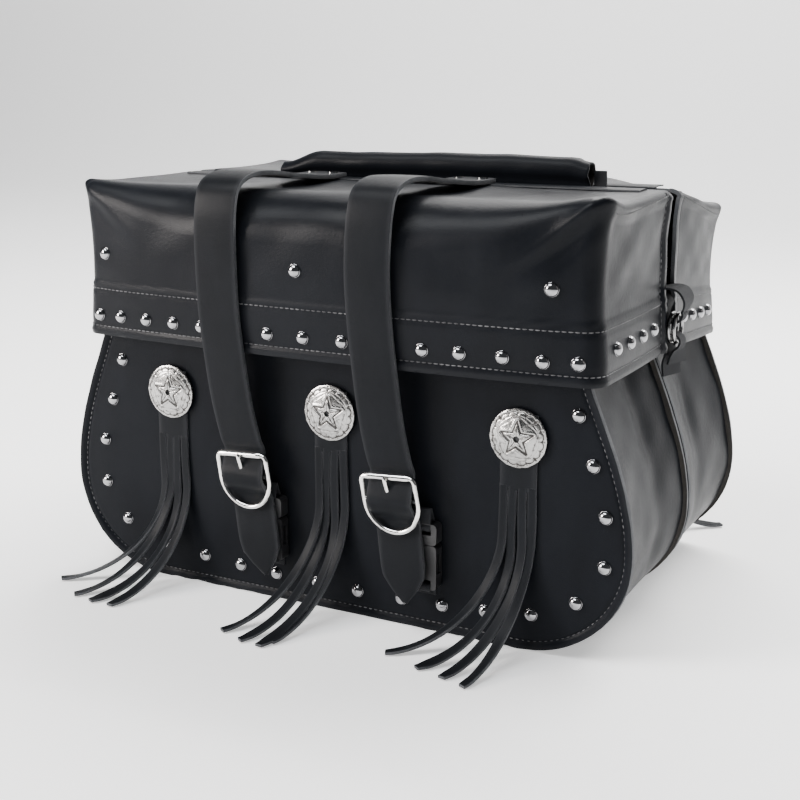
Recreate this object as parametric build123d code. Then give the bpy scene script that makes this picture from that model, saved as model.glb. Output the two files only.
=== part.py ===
from build123d import *
import math
import os

# Throw-over motorcycle saddlebags: two leather bags back to back, joined by a yoke.
# Millimetres. +Z up, X along the bags' length. The front bag faces -Y, the rear bag is the same
# bag turned half a turn about Z. The origin is on the ground, midway between the two bags.

# ---- driving dimensions -------------------------------------------------------------------
# bag body
LEATHER = 4.0                 # thickness of the stiff front and back panels
GUSSET_WALL = 3.0             # thickness of the band that joins them
PANEL_FACE_Y = -130.0         # outer face of the front panel
BACK_FACE_Y = -2.0            # outer face of the back panel, near the middle plane
BASE_HALF = 148.0             # half-width of the straight bottom edge
BELLY_HALF = 226.0            # greatest half-width
BELLY_Z = 75.0                # height of the greatest width
SHOULDER_HALF = 194.0         # half-width where the body goes under the lid
SHOULDER_Z = 186.0
BODY_TOP_HALF = 190.0         # half-width at the body's mouth
BODY_TOP_Z = 235.0
BACK_TOP_Z = 295.0            # the back panel runs up to the lid's fold
GUSSET_INSET = 3.0            # the panels overhang the gusset by this much
BOARD_THICKNESS = 4.0         # stiffener inside the bottom

# lid
LID_HALF = 204.0
LID_WALL = 3.0
LID_BOTTOM_Z = 188.0
LID_TOP_Z = 300.0
LID_BACK_Y = -10.0
LID_CORNER_Y = -140.0         # front face at its ends
LID_BOW = 8.0                 # the front face bows out by this much in the middle
LID_CORNER_R = 8.0
HINGE_Y = -12.0               # axis of the leather fold
HINGE_Z = 304.0

# straps and their buckles
STRAP_X = 62.0
RELEASE_SHIFT = 13.0          # the quick releases sit a little to the right of the straps' tails
STRAP_THICKNESS = 3.2
STRAP_HALF_TOP = 17.0
STRAP_HALF_LOW = 16.0
STRAP_TIP_Z = 24.0
STRAP_POINT = 22.0            # length of the tapered end
STRAP_HOLES_Z = (129.0, 157.0)
SLOT_LOW_Z = 90.5             # slot in the strap for the prong
SLOT_HIGH_Z = 110.0
SLOT_WIDTH = 5.0
STRAP_HOLE_R = 2.0
BUCKLE_Y = -148.0             # plane of the buckle's frame
BUCKLE_BAR_Z = 97.0           # height of the centre bar
BUCKLE_TOP_Z = 113.0          # height of the straight top bar
BUCKLE_HALF = 23.0            # half-width between wire centres
BUCKLE_WIRE_R = 1.9
CENTRE_BAR_R = 1.6
PRONG_R = 1.5
PRONG_CLEARANCE = 0.1
PRONG_EYE_WALL = 1.6

# quick-release buckle under each strap
SOCKET_HALF = 17.0
SOCKET_BACK_Y = -132.0
SOCKET_FRONT_Y = -141.0
SOCKET_LOW_Z = 34.0
SOCKET_HIGH_Z = 66.0
SOCKET_WALL = 1.8
PLUG_GAP = 0.35
PLUG_HEAD = 15.0
PLUG_REACH = 22.0
PLUG_TRAVEL = 26.0

# decoration
STUD_R = 4.7                  # 3/8 inch chrome spots
STUD_HEIGHT = 3.2
PANEL_STUD_SHIFT = 8.0
LID_STUDS_X = [-189, -167, -142, -117, -92, -35, -6.5, 24.5, 84, 110, 139, 166, 191]
LID_STUD_Z = 203.0
LID_END_STUD_Z = 208.0
LID_END_PITCH = 24.5
LID_SINGLE_Z = 249.0
LID_SINGLES_X = [-181.0, -11.0, 172.0]
CONCHO_R = 20.0
CONCHO_RIM = 1.6
CONCHO_HEIGHT = 5.0
CONCHO_Z = 148.0
CONCHO_X = [-132.0, 5.0, 147.0]
CONCHO_HOLE_R = 2.2
SCREW_R = 2.0
FRINGE_THICKNESS = 2.2
FRINGE_HALF = 13.6
FRINGE_STRIPS = 4
FRINGE_TOP_Z = 164.0
FRINGE_SLIT_Z = 122.0
FRINGE_BEND_Z = 70.0

# yoke, rivets and side ties
YOKE_HALF = 128.0
YOKE_SHIFT = 16.0             # the yoke is sewn in a little to the right
YOKE_LEG_Y = 1.7
YOKE_LOW_Z = 150.0
YOKE_NECK_Z = 298.0
YOKE_TOP_Z = 320.0
YOKE_ROLL_Y = 8.0
YOKE_FOLD_Y = 1.9             # half-width of the hollow left inside the fold
RIVET_R = 2.0
RIVET_HEAD_R = 4.5
TIE_X = 209.3                 # the rings hang just outside the lid's ends
TIE_Z = 214.0
TIE_HALF = 9.0
TAIL_LOW_Z = 168.0
RING_R = 10.0
RING_WIRE_R = 1.5
RING_OFFSET = 1.8


def export(shape, node):
    """Write one node's STEP file."""
    export_step(shape, f"parts/{node}.step")


def group(solids):
    return Compound(children=list(solids))


def block(x0, x1, y0, y1, z0, z1):
    """A box between two corners."""
    size = (x1 - x0, y1 - y0, z1 - z0)
    centre = ((x0 + x1) / 2, (y0 + y1) / 2, (z0 + z1) / 2)
    return Pos(*centre) * Box(*size)


def rod_y(x, y0, y1, z, radius):
    """A round bar along Y."""
    return Pos(x, (y0 + y1) / 2, z) * Rot(90, 0, 0) * Cylinder(radius, abs(y1 - y0))


def rod_x(x0, x1, y, z, radius):
    """A round bar along X."""
    return Pos((x0 + x1) / 2, y, z) * Rot(0, 90, 0) * Cylinder(radius, abs(x1 - x0))


# ---- the body of a bag --------------------------------------------------------------------
def bag_outline(inset, top_z, low_z=0.0):
    """Face of the bag seen from the front, in the XZ plane, drawn in by an inset."""
    base = BASE_HALF - inset
    belly = BELLY_HALF - inset
    shoulder = SHOULDER_HALF - inset
    mouth = BODY_TOP_HALF - inset
    lift = Vector(0, 1)
    lean = Vector(-0.42, 1)

    def side(sign):
        low = Spline(
            [(sign * base, low_z), (sign * belly, BELLY_Z)],
            tangents=[(sign, 0), (lift.X, lift.Y)],
        )
        high = Spline(
            [(sign * belly, BELLY_Z), (sign * shoulder, SHOULDER_Z)],
            tangents=[(lift.X, lift.Y), (sign * lean.X, lean.Y)],
        )
        top = Polyline(
            (sign * shoulder, SHOULDER_Z),
            (sign * mouth, BODY_TOP_Z),
            (sign * mouth, top_z + 0.001),
        )
        return [low, high, top]

    floor = Line((-base, low_z), (base, low_z))
    roof = Line((-mouth, top_z + 0.001), (mouth, top_z + 0.001))
    edges = [floor, roof]
    for curve in side(1) + side(-1):
        edges += curve.edges()
    return make_face(edges)


def plate(face, y0, y1):
    """A flat XZ face made into a plate between two depths."""
    thick = extrude(face, abs(y1 - y0))
    return Rot(90, 0, 0) * Pos(0, 0, -max(y0, y1)) * thick


def front_panel():
    panel = plate(bag_outline(0, BODY_TOP_Z), PANEL_FACE_Y, PANEL_FACE_Y + LEATHER)
    for x in CONCHO_X:
        panel -= rod_y(x, PANEL_FACE_Y - 1, PANEL_FACE_Y + LEATHER + 1, CONCHO_Z, CONCHO_HOLE_R)
    return panel


def rivet_places():
    return [(x, z) for x in (-100.0, 0.0, 100.0) for z in (175.0, 265.0)]


def back_panel():
    panel = plate(bag_outline(0, BACK_TOP_Z), BACK_FACE_Y - LEATHER, BACK_FACE_Y)
    for x, z in rivet_places():
        panel -= rod_y(x, BACK_FACE_Y - LEATHER - 1, 1, z, RIVET_R + 0.2)
    return panel


def gusset():
    front = PANEL_FACE_Y + LEATHER
    back = BACK_FACE_Y - LEATHER
    outer = plate(bag_outline(GUSSET_INSET, BODY_TOP_Z), front, back)
    hollow_face = bag_outline(GUSSET_INSET + GUSSET_WALL, BODY_TOP_Z + 10, GUSSET_WALL)
    return outer - plate(hollow_face, front - 1, back + 1)


def base_board():
    low = GUSSET_WALL
    half = BASE_HALF - 14
    front = PANEL_FACE_Y + LEATHER + 2
    back = BACK_FACE_Y - LEATHER - 2
    return block(-half, half, front, back, low, low + BOARD_THICKNESS)


# ---- the lid ------------------------------------------------------------------------------
def lid_front_y(x):
    """Depth of the lid's front face at one place along its length."""
    return LID_CORNER_Y - LID_BOW * (1 - (x / LID_HALF) ** 2)


def lid_plan(shrink, back_y):
    half = LID_HALF - shrink
    corner_y = LID_CORNER_Y + shrink
    front = ThreePointArc((-half, corner_y), (0, corner_y - LID_BOW), (half, corner_y))
    sides = Polyline((half, corner_y), (half, back_y), (-half, back_y), (-half, corner_y))
    return make_face([front] + list(sides.edges()))


def lid():
    outer = Pos(0, 0, LID_BOTTOM_Z) * extrude(lid_plan(0, LID_BACK_Y), LID_TOP_Z - LID_BOTTOM_Z)
    upright = outer.edges().filter_by(Axis.Z).sort_by(Axis.Y)[:2]
    outer = fillet(upright, LID_CORNER_R)
    rim = [e for e in outer.faces().sort_by(Axis.Z)[-1].edges() if e.center().Y < LID_BACK_Y - 1]
    outer = fillet(rim, LID_CORNER_R)
    height = LID_TOP_Z - LID_WALL - LID_BOTTOM_Z + 5
    inner = Pos(0, 0, LID_BOTTOM_Z - 5) * extrude(lid_plan(LID_WALL, LID_BACK_Y + 5), height)
    inner_upright = inner.edges().filter_by(Axis.Z).sort_by(Axis.Y)[:2]
    inner = fillet(inner_upright, LID_CORNER_R - LID_WALL)
    return outer - inner


# ---- straps -------------------------------------------------------------------------------
# Centre line of a strap in the YZ plane, from its riveted end on the lid's top to its tip: an arch
# over the lid, the drop down its front, then the weave behind the top bar, over the centre bar
# and behind the bottom of the buckle.
def strap_line():
    front_x = lid_front_y(STRAP_X)
    over_lid = [(-17, 302.0), (-44, 302.2), (-78, 306.0), (-110, 309.5), (-134, 308.5)]
    down_lid = [(front_x - 2.2, 298), (front_x - 3.4, 280), (front_x - 2.9, 240), (front_x - 2.5, 200)]
    to_buckle = [(BUCKLE_Y - 0.8, 160), (BUCKLE_Y + 2.6, 126), (BUCKLE_Y + 4.5, BUCKLE_TOP_Z + 1)]
    over_bar = [(BUCKLE_Y - 3.9, BUCKLE_BAR_Z)]
    under_bend = [(BUCKLE_Y + 4.2, BUCKLE_BAR_Z - 14), (BUCKLE_Y + 4.6, BUCKLE_BAR_Z - BUCKLE_HALF - 1)]
    tail = [(BUCKLE_Y + 2.6, 56), (BUCKLE_Y + 2.2, 40), (BUCKLE_Y + 3.0, STRAP_TIP_Z)]
    return over_lid + down_lid + to_buckle + over_bar + under_bend + tail


def ribbon(points, thickness):
    """A band of even thickness about a smooth line, as a face in the YZ plane."""
    line = Spline(points)
    steps = 6 * len(points)
    one_side = []
    other_side = []
    for i in range(steps + 1):
        place = line @ (i / steps)
        along = line % (i / steps)
        across = Vector(-along.Y, along.X) * (thickness / 2)
        one_side.append(((place + across).X, (place + across).Y))
        other_side.append(((place - across).X, (place - across).Y))
    near = Spline(one_side)
    far = Spline(other_side)
    start = Line(one_side[0], other_side[0])
    end = Line(one_side[-1], other_side[-1])
    return make_face([near, end, far, start])


def strap(centre_x):
    band = extrude(Plane.YZ * ribbon(strap_line(), STRAP_THICKNESS), STRAP_HALF_TOP, both=True)
    shape = Polyline(
        (-STRAP_HALF_TOP, LID_TOP_Z + 30),
        (-STRAP_HALF_TOP, LID_BOTTOM_Z),
        (-STRAP_HALF_LOW, BUCKLE_TOP_Z + 8),
        (-STRAP_HALF_LOW, STRAP_TIP_Z + STRAP_POINT),
        (0, STRAP_TIP_Z),
        (STRAP_HALF_LOW, STRAP_TIP_Z + STRAP_POINT),
        (STRAP_HALF_LOW, BUCKLE_TOP_Z + 8),
        (STRAP_HALF_TOP, LID_BOTTOM_Z),
        (STRAP_HALF_TOP, LID_TOP_Z + 30),
        close=True,
    )
    band &= plate(make_face(shape.edges()), LID_CORNER_Y - 40, 10)
    slot_mid = (SLOT_LOW_Z + SLOT_HIGH_Z) / 2
    slot_height = SLOT_HIGH_Z - SLOT_LOW_Z
    band -= Pos(0, BUCKLE_Y, slot_mid) * Box(SLOT_WIDTH, 20, slot_height)
    for z in STRAP_HOLES_Z:
        band -= rod_y(0, BUCKLE_Y - 12, BUCKLE_Y + 12, z, STRAP_HOLE_R)
    return Pos(centre_x, 0, 0) * band


def strap_rivets():
    """Two rivets hold the end of each strap on the lid's top."""
    heads = []
    for centre_x in (-STRAP_X, STRAP_X):
        for offset in (-9.0, 9.0):
            head = Cylinder(RIVET_HEAD_R - 0.5, 1.6, align=(Align.CENTER, Align.CENTER, Align.MIN))
            heads.append(Pos(centre_x + offset, -26, 303.75) * head)
    return group(heads)


# ---- chrome buckles on the straps ---------------------------------------------------------
def buckle_frame(centre_x):
    """Horseshoe frame: straight top bar, round bottom, and a centre bar for the prong."""
    wire = BUCKLE_WIRE_R
    frame = rod_x(-BUCKLE_HALF, BUCKLE_HALF, 0, BUCKLE_TOP_Z - BUCKLE_BAR_Z, wire)
    for sign in (-1, 1):
        height = BUCKLE_TOP_Z - BUCKLE_BAR_Z
        frame += Pos(sign * BUCKLE_HALF, 0, height / 2) * Cylinder(wire, height)
        frame += Pos(sign * BUCKLE_HALF, 0, height) * Sphere(wire)
    ring = Rot(90, 0, 0) * Torus(BUCKLE_HALF, wire)
    frame += ring & block(-40, 40, -10, 10, -40, 0)
    frame += rod_x(-BUCKLE_HALF, BUCKLE_HALF, 0, 0, CENTRE_BAR_R)
    return Pos(centre_x, BUCKLE_Y, BUCKLE_BAR_Z) * frame


def prong(centre_x):
    """An eye round the centre bar and a pin that rests on the top bar."""
    eye_inner = CENTRE_BAR_R + PRONG_CLEARANCE
    eye_outer = eye_inner + PRONG_EYE_WALL
    rest_y = -(BUCKLE_WIRE_R + PRONG_R + 0.05)
    tip_z = BUCKLE_TOP_Z - BUCKLE_BAR_Z + 4
    pin = Pos(0, rest_y, tip_z / 2) * Cylinder(PRONG_R, tip_z)
    pin += Pos(0, rest_y, tip_z) * Sphere(PRONG_R)
    eye = rod_x(-1.7, 1.7, 0, 0, eye_outer)
    body = (pin + eye) - rod_x(-5, 5, 0, 0, eye_inner)
    return Pos(centre_x, BUCKLE_Y, BUCKLE_BAR_Z) * body


# ---- quick-release buckles under the straps -----------------------------------------------
def socket(centre_x):
    """Open-topped shell with a window in each side and a bar for its webbing."""
    half = SOCKET_HALF
    shell = block(-half, half, SOCKET_FRONT_Y, SOCKET_BACK_Y, SOCKET_LOW_Z, SOCKET_HIGH_Z)
    shell = fillet(shell.edges().filter_by(Axis.Y), 3.0)
    wall = SOCKET_WALL
    cavity_floor = SOCKET_HIGH_Z - PLUG_REACH - 1.5
    y0 = SOCKET_FRONT_Y + wall
    y1 = SOCKET_BACK_Y - wall
    shell -= block(wall + 0.4 - half, half - wall - 0.4, y0, y1, cavity_floor, SOCKET_HIGH_Z + 1)
    shell -= block(-half - 1, half + 1, y0 + 0.4, y1 - 0.4, cavity_floor + 3, SOCKET_HIGH_Z - 6)
    shell -= block(4 - half, half - 4, SOCKET_FRONT_Y - 1, SOCKET_BACK_Y + 1, 37.0, 41.0)
    return Pos(centre_x, 0, 0) * shell


def plug(centre_x):
    """A head with a webbing slot, two springy side arms and a middle guide."""
    half = SOCKET_HALF
    low = SOCKET_HIGH_Z + 0.4
    head = block(-half, half, SOCKET_FRONT_Y, SOCKET_BACK_Y, low, low + PLUG_HEAD)
    head = fillet(head.edges().filter_by(Axis.Y), 3.0)
    slot_low = low + PLUG_HEAD - 8
    head -= block(4 - half, half - 4, SOCKET_FRONT_Y - 1, SOCKET_BACK_Y + 1, slot_low, slot_low + 4)
    y0 = SOCKET_FRONT_Y + SOCKET_WALL + PLUG_GAP
    y1 = SOCKET_BACK_Y - SOCKET_WALL - PLUG_GAP
    end = SOCKET_HIGH_Z - PLUG_REACH
    body = head + block(-3.5, 3.5, y0, y1, end, low + 2)
    outer = half - SOCKET_WALL - 0.4 - PLUG_GAP
    for sign in (-1, 1):
        arm = block(outer - 5, outer, y0, y1, end + 2, low + 2)
        body += arm if sign > 0 else mirror(arm, Plane.YZ)
    return Pos(centre_x, 0, 0) * body


def tethers():
    """Short webbing loops that sew each socket to the front panel."""
    loops = []
    half = SOCKET_HALF - 4.4
    sewn_y = PANEL_FACE_Y - 0.1
    for centre_x in (RELEASE_SHIFT - STRAP_X, RELEASE_SHIFT + STRAP_X):
        outer = block(-half, half, SOCKET_FRONT_Y - 1.2, sewn_y, SOCKET_LOW_Z - 1.3, SOCKET_LOW_Z + 4.3)
        inner = block(
            -half - 1, half + 1, SOCKET_FRONT_Y - 0.1, SOCKET_BACK_Y + 0.1, SOCKET_LOW_Z - 0.1, SOCKET_LOW_Z + 3.1
        )
        tail = block(-half, half, sewn_y - 1.4, sewn_y, SOCKET_LOW_Z - 7.5, SOCKET_LOW_Z)
        loops.append(Pos(centre_x, 0, 0) * (outer - inner + tail))
    return group(loops)


# ---- studs, conchos and fringes -----------------------------------------------------------
def dome(radius, height):
    """A shallow spherical cap standing on the XY plane."""
    ball_r = (radius**2 + height**2) / (2 * height)
    ball = Pos(0, 0, height - ball_r) * Sphere(ball_r)
    return ball & Pos(0, 0, height) * Box(4 * radius, 4 * radius, 2 * height)


def stud_facing(x, y, z, turn):
    """A stud on an upright face, where turn is 0 for -Y, 90 for +X and -90 for -X."""
    return Pos(x, y, z) * Rot(0, 0, turn) * Rot(90, 0, 0) * dome(STUD_R, STUD_HEIGHT)


def panel_stud_places():
    """Two columns up the sides, then a row round the bottom, all set a little to the right."""
    column = [(182.6, 167.0), (193.4, 135.0), (202.9, 102.0), (203.3, 68.0), (184.8, 40.0)]
    row = [(149.6, 26.0), (116.1, 22.0), (83.6, 20.0), (52.0, 19.0), (16.7, 18.0)]
    sides = [(sign * x + PANEL_STUD_SHIFT / 2, z) for sign in (-1, 1) for x, z in column]
    return sides + [(sign * x + PANEL_STUD_SHIFT, z) for sign in (-1, 1) for x, z in row]


def panel_studs():
    return group(stud_facing(x, PANEL_FACE_Y, z, 0) for x, z in panel_stud_places())


def lid_front_stud(x, z):
    """A stud on the lid's bowed front, stood off so that its flat base clears the curve."""
    slope = 2 * LID_BOW * abs(x) / LID_HALF**2
    return stud_facing(x, lid_front_y(x) - slope * STUD_R - 0.02, z, 0)


def lid_studs():
    """A row round the lid's skirt and three single studs above it."""
    studs = [lid_front_stud(x, LID_STUD_Z) for x in LID_STUDS_X]
    for sign in (-1, 1):
        for step in range(4):
            y = LID_CORNER_Y + 30 + step * LID_END_PITCH
            studs.append(stud_facing(sign * LID_HALF, y, LID_END_STUD_Z, sign * 90))
    studs += [lid_front_stud(x, LID_SINGLE_Z) for x in LID_SINGLES_X]
    return group(studs)


def conchos():
    discs = []
    back = PANEL_FACE_Y - FRINGE_THICKNESS - 0.1
    for x in CONCHO_X:
        rim = Cylinder(CONCHO_R, CONCHO_RIM, align=(Align.CENTER, Align.CENTER, Align.MIN))
        disc = rim + Pos(0, 0, CONCHO_RIM) * dome(CONCHO_R, CONCHO_HEIGHT - CONCHO_RIM)
        disc -= Cylinder(CONCHO_HOLE_R, 30)
        discs.append(Pos(x, back, CONCHO_Z) * Rot(90, 0, 0) * disc)
    return group(discs)


def concho_screws():
    """A screw through each concho, its fringe and the panel, with a flat nut inside the bag."""
    screws = []
    inside = PANEL_FACE_Y + LEATHER
    for x in CONCHO_X:
        shank = rod_y(x, PANEL_FACE_Y - 5.5, inside + 1.4, CONCHO_Z, SCREW_R)
        nut = rod_y(x, inside + 0.05, inside + 1.5, CONCHO_Z, 6.0)
        screws.append(shank + nut)
    return group(screws)


def strip_profile(reach):
    """Side view of a hanging strip: straight down, then a quarter ellipse out to the ground."""
    half = FRINGE_THICKNESS / 2
    steps = 9
    low = half + 0.6
    centre = []
    for i in range(steps + 1):
        angle = math.radians(90 * i / steps)
        place = (reach * (1 - math.cos(angle)), FRINGE_BEND_Z - (FRINGE_BEND_Z - low) * math.sin(angle))
        slope = Vector(reach * math.sin(angle), -(FRINGE_BEND_Z - low) * math.cos(angle)).normalized()
        centre.append((Vector(*place), Vector(-slope.Y, slope.X) * half))
    upper = [place + side for place, side in centre]
    lower = [place - side for place, side in centre]
    points = [(half, FRINGE_SLIT_Z)] + [(p.X, p.Y) for p in upper]
    points += [(p.X, p.Y) for p in reversed(lower)] + [(-half, FRINGE_SLIT_Z)]
    return make_face(Polyline(points, close=True).edges())


def fringe(centre_x, headings, reaches):
    """A leather tab slit into strips, each curving out to the ground on its own heading."""
    y = PANEL_FACE_Y - 0.1 - FRINGE_THICKNESS / 2
    pitch = 2 * FRINGE_HALF / FRINGE_STRIPS
    width = pitch - 0.7
    front = PANEL_FACE_Y - 0.05 - FRINGE_THICKNESS
    back = PANEL_FACE_Y - 0.05
    piece = block(-FRINGE_HALF, FRINGE_HALF, front, back, FRINGE_SLIT_Z, FRINGE_TOP_Z)
    piece -= rod_y(0, front - 1, back + 1, CONCHO_Z, CONCHO_HOLE_R)
    for i in range(FRINGE_STRIPS):
        x = (i + 0.5) * pitch - FRINGE_HALF
        angle = math.radians(headings[i])
        outward = Vector(-math.sin(angle), -math.cos(angle), 0)
        bend_plane = Plane(origin=(0, 0, 0), x_dir=outward, z_dir=outward.cross(Vector(0, 0, 1)))
        strip = extrude(bend_plane * strip_profile(reaches[i]), width / 2, both=True)
        clear = math.sin(abs(angle)) * width / 2
        piece += Pos(x, y - clear, 0) * strip
        low = FRINGE_SLIT_Z - 2
        piece += block(x - width / 2, x + width / 2, y - clear - 1.1, back, low, FRINGE_SLIT_Z + 2)
    return Pos(centre_x, 0, 0) * piece


# ---- what joins the two bags --------------------------------------------------------------
def yoke():
    """A leather panel folded over between the bags, with a soft roll at the fold."""
    left, right = YOKE_SHIFT - YOKE_HALF, YOKE_SHIFT + YOKE_HALF
    legs = block(left, right, -YOKE_LEG_Y, YOKE_LEG_Y, YOKE_LOW_Z, YOKE_NECK_Z + 4)
    mid_z = (YOKE_NECK_Z + YOKE_TOP_Z) / 2
    half_z = (YOKE_TOP_Z - YOKE_NECK_Z) / 2
    oval = extrude(Plane.YZ * Ellipse(YOKE_ROLL_Y, half_z), YOKE_HALF, both=True)
    roll = Pos(YOKE_SHIFT, 0, mid_z) * oval
    slit = block(left - 1, right + 1, -YOKE_FOLD_Y, YOKE_FOLD_Y, mid_z - 5, mid_z + 6)
    piece = legs + roll - slit
    for x, z in rivet_places():
        piece -= rod_y(x, -5, 5, z, RIVET_R + 0.2)
    return piece


def yoke_rivets():
    """Each rivet clamps both back panels onto the yoke."""
    inside = BACK_FACE_Y - LEATHER
    rivets = []
    for x, z in rivet_places():
        rivet = rod_y(x, inside - 1.4, -inside + 1.4, z, RIVET_R)
        rivet += rod_y(x, inside - 1.5, inside - 0.05, z, RIVET_HEAD_R)
        rivet += rod_y(x, -inside + 0.05, -inside + 1.5, z, RIVET_HEAD_R)
        rivets.append(rivet)
    return group(rivets)


def yoke_tab():
    """A stub of webbing that stands up beside the yoke's end."""
    end = YOKE_SHIFT + YOKE_HALF
    return block(end + 2, end + 11, -1.2, 1.2, 282.0, 311.0)


def side_tie():
    """Webbing from the seam between the bags, folded round the rings outside the lid's ends."""
    seam = block(178.0, TIE_X, -1.4, 1.4, TIE_Z + 9, TIE_Z + 18)
    fold = block(TIE_X - 1.5, TIE_X + 1.5, -TIE_HALF, TIE_HALF, TIE_Z + 8, TIE_Z + 18)
    loop = rod_y(TIE_X, -5, 5, TIE_Z, 6.8)
    neck = block(TIE_X - 1.5, TIE_X + 1.5, -5, 5, TIE_Z + 5, TIE_Z + 9)
    return seam + fold + loop + neck - rod_y(TIE_X, -6, 6, TIE_Z, 5.2)


def ring_pair():
    """Two chrome rings that hang side by side in the webbing's loop."""
    rings = []
    for sign in (-1, 1):
        ring = Rot(0, 90, 0) * Torus(RING_R, RING_WIRE_R)
        rings.append(Pos(TIE_X + sign * RING_OFFSET, 0, TIE_Z - RING_R) * ring)
    return group(rings)


def tie_tail():
    """The webbing's free end, looped through the bottom of the rings."""
    low_z = TIE_Z - 2 * RING_R
    loop = rod_y(TIE_X, -5, 5, low_z, 6.4) - rod_y(TIE_X, -6, 6, low_z, 4.8)
    tail = block(TIE_X - 1.5, TIE_X + 1.5, -TIE_HALF, TIE_HALF, TAIL_LOW_Z, low_z - 8)
    neck = block(TIE_X - 1.5, TIE_X + 1.5, -5, 5, low_z - 9, low_z - 5)
    return loop + tail + neck


# ---- the parts ----------------------------------------------------------------------------
OUTER_HEADINGS = [50.0, 28.0, 16.0, 6.0]
MIDDLE_HEADINGS = [24.0, 14.0, 7.0, 2.0]
REACHES = [70.0, 72.0, 70.0, 68.0]


def bag_parts():
    """Every piece of the front bag, by name."""
    pieces = {
        "panel": front_panel(),
        "back_panel": back_panel(),
        "gusset": gusset(),
        "base_board": base_board(),
        "lid": lid(),
        "strap_rivets": strap_rivets(),
        "tethers": tethers(),
        "panel_studs": panel_studs(),
        "lid_studs": lid_studs(),
        "conchos": conchos(),
        "concho_screws": concho_screws(),
        "fringe_left": fringe(CONCHO_X[0], OUTER_HEADINGS, REACHES),
        "fringe_middle": fringe(CONCHO_X[1], MIDDLE_HEADINGS, REACHES),
        "fringe_right": fringe(CONCHO_X[2], OUTER_HEADINGS, REACHES),
    }
    for name, x in (("left", -STRAP_X), ("right", STRAP_X)):
        pieces[f"strap_{name}"] = strap(x)
        pieces[f"buckle_{name}"] = buckle_frame(x)
        pieces[f"prong_{name}"] = prong(x)
        pieces[f"socket_{name}"] = socket(x + RELEASE_SHIFT)
        pieces[f"plug_{name}"] = plug(x + RELEASE_SHIFT)
    return pieces


def main():
    os.makedirs("parts", exist_ok=True)
    half_turn = Rot(0, 0, 180)
    for name, piece in bag_parts().items():
        export(piece, f"front_{name}")
        export(half_turn * piece, f"rear_{name}")
    for name, piece in (("tie", side_tie()), ("rings", ring_pair()), ("tie_tail", tie_tail())):
        export(piece, f"right_{name}")
        export(half_turn * piece, f"left_{name}")
    export(yoke(), "yoke")
    export(yoke_rivets(), "yoke_rivets")
    export(yoke_tab(), "yoke_tab")


main()
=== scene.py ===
"""Looks of the throw-over motorcycle saddlebags: leather, hardware, webbing and the studio round them."""

import logging
import math
from dataclasses import dataclass, field
from enum import Enum
from typing import Any, Iterable, Sequence

import bpy
import numpy as np
from mathutils import Matrix, Vector


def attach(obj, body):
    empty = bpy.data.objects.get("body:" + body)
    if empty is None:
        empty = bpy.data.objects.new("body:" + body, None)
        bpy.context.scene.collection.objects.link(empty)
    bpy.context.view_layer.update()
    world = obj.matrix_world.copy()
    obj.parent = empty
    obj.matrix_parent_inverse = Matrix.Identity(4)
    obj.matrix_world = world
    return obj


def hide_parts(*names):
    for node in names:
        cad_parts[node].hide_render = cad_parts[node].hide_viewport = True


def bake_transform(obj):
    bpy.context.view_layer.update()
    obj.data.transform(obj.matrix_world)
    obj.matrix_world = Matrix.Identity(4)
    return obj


MM = 0.001
ROOT = "bags"
LOG = logging.getLogger("saddlebags")
STRAP_X = 62.0
BUCKLE_Y = -148.0
SHARP_ANGLE = 50.0
WIRE_SIDE = np.array([0.12, 1.0, 0.07])
CUTTER_REACH = (-175.0, -120.0)

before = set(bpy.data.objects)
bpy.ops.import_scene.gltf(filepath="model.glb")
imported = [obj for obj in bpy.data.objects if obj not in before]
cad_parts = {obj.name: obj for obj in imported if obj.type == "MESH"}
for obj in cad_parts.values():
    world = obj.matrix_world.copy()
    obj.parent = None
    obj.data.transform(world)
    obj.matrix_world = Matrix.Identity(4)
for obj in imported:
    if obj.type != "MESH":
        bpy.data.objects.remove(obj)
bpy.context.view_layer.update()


class Side(Enum):
    """Which of the two bags a piece belongs to."""

    FRONT = "front"
    REAR = "rear"

    @property
    def turn(self) -> float:
        """Sign of X and Y for this bag: the rear bag is the front bag turned half a turn about Z."""
        return 1.0 if self is Side.FRONT else -1.0

    def name(self, piece: str) -> str:
        """Name of one of this bag's pieces."""
        return f"{self.value}_{piece}"


class Hand(Enum):
    """Left or right within one bag, as seen from in front of it."""

    LEFT = "left"
    RIGHT = "right"

    @property
    def sign(self) -> float:
        """Sign of X on the front bag."""
        return -1.0 if self is Hand.LEFT else 1.0


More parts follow.
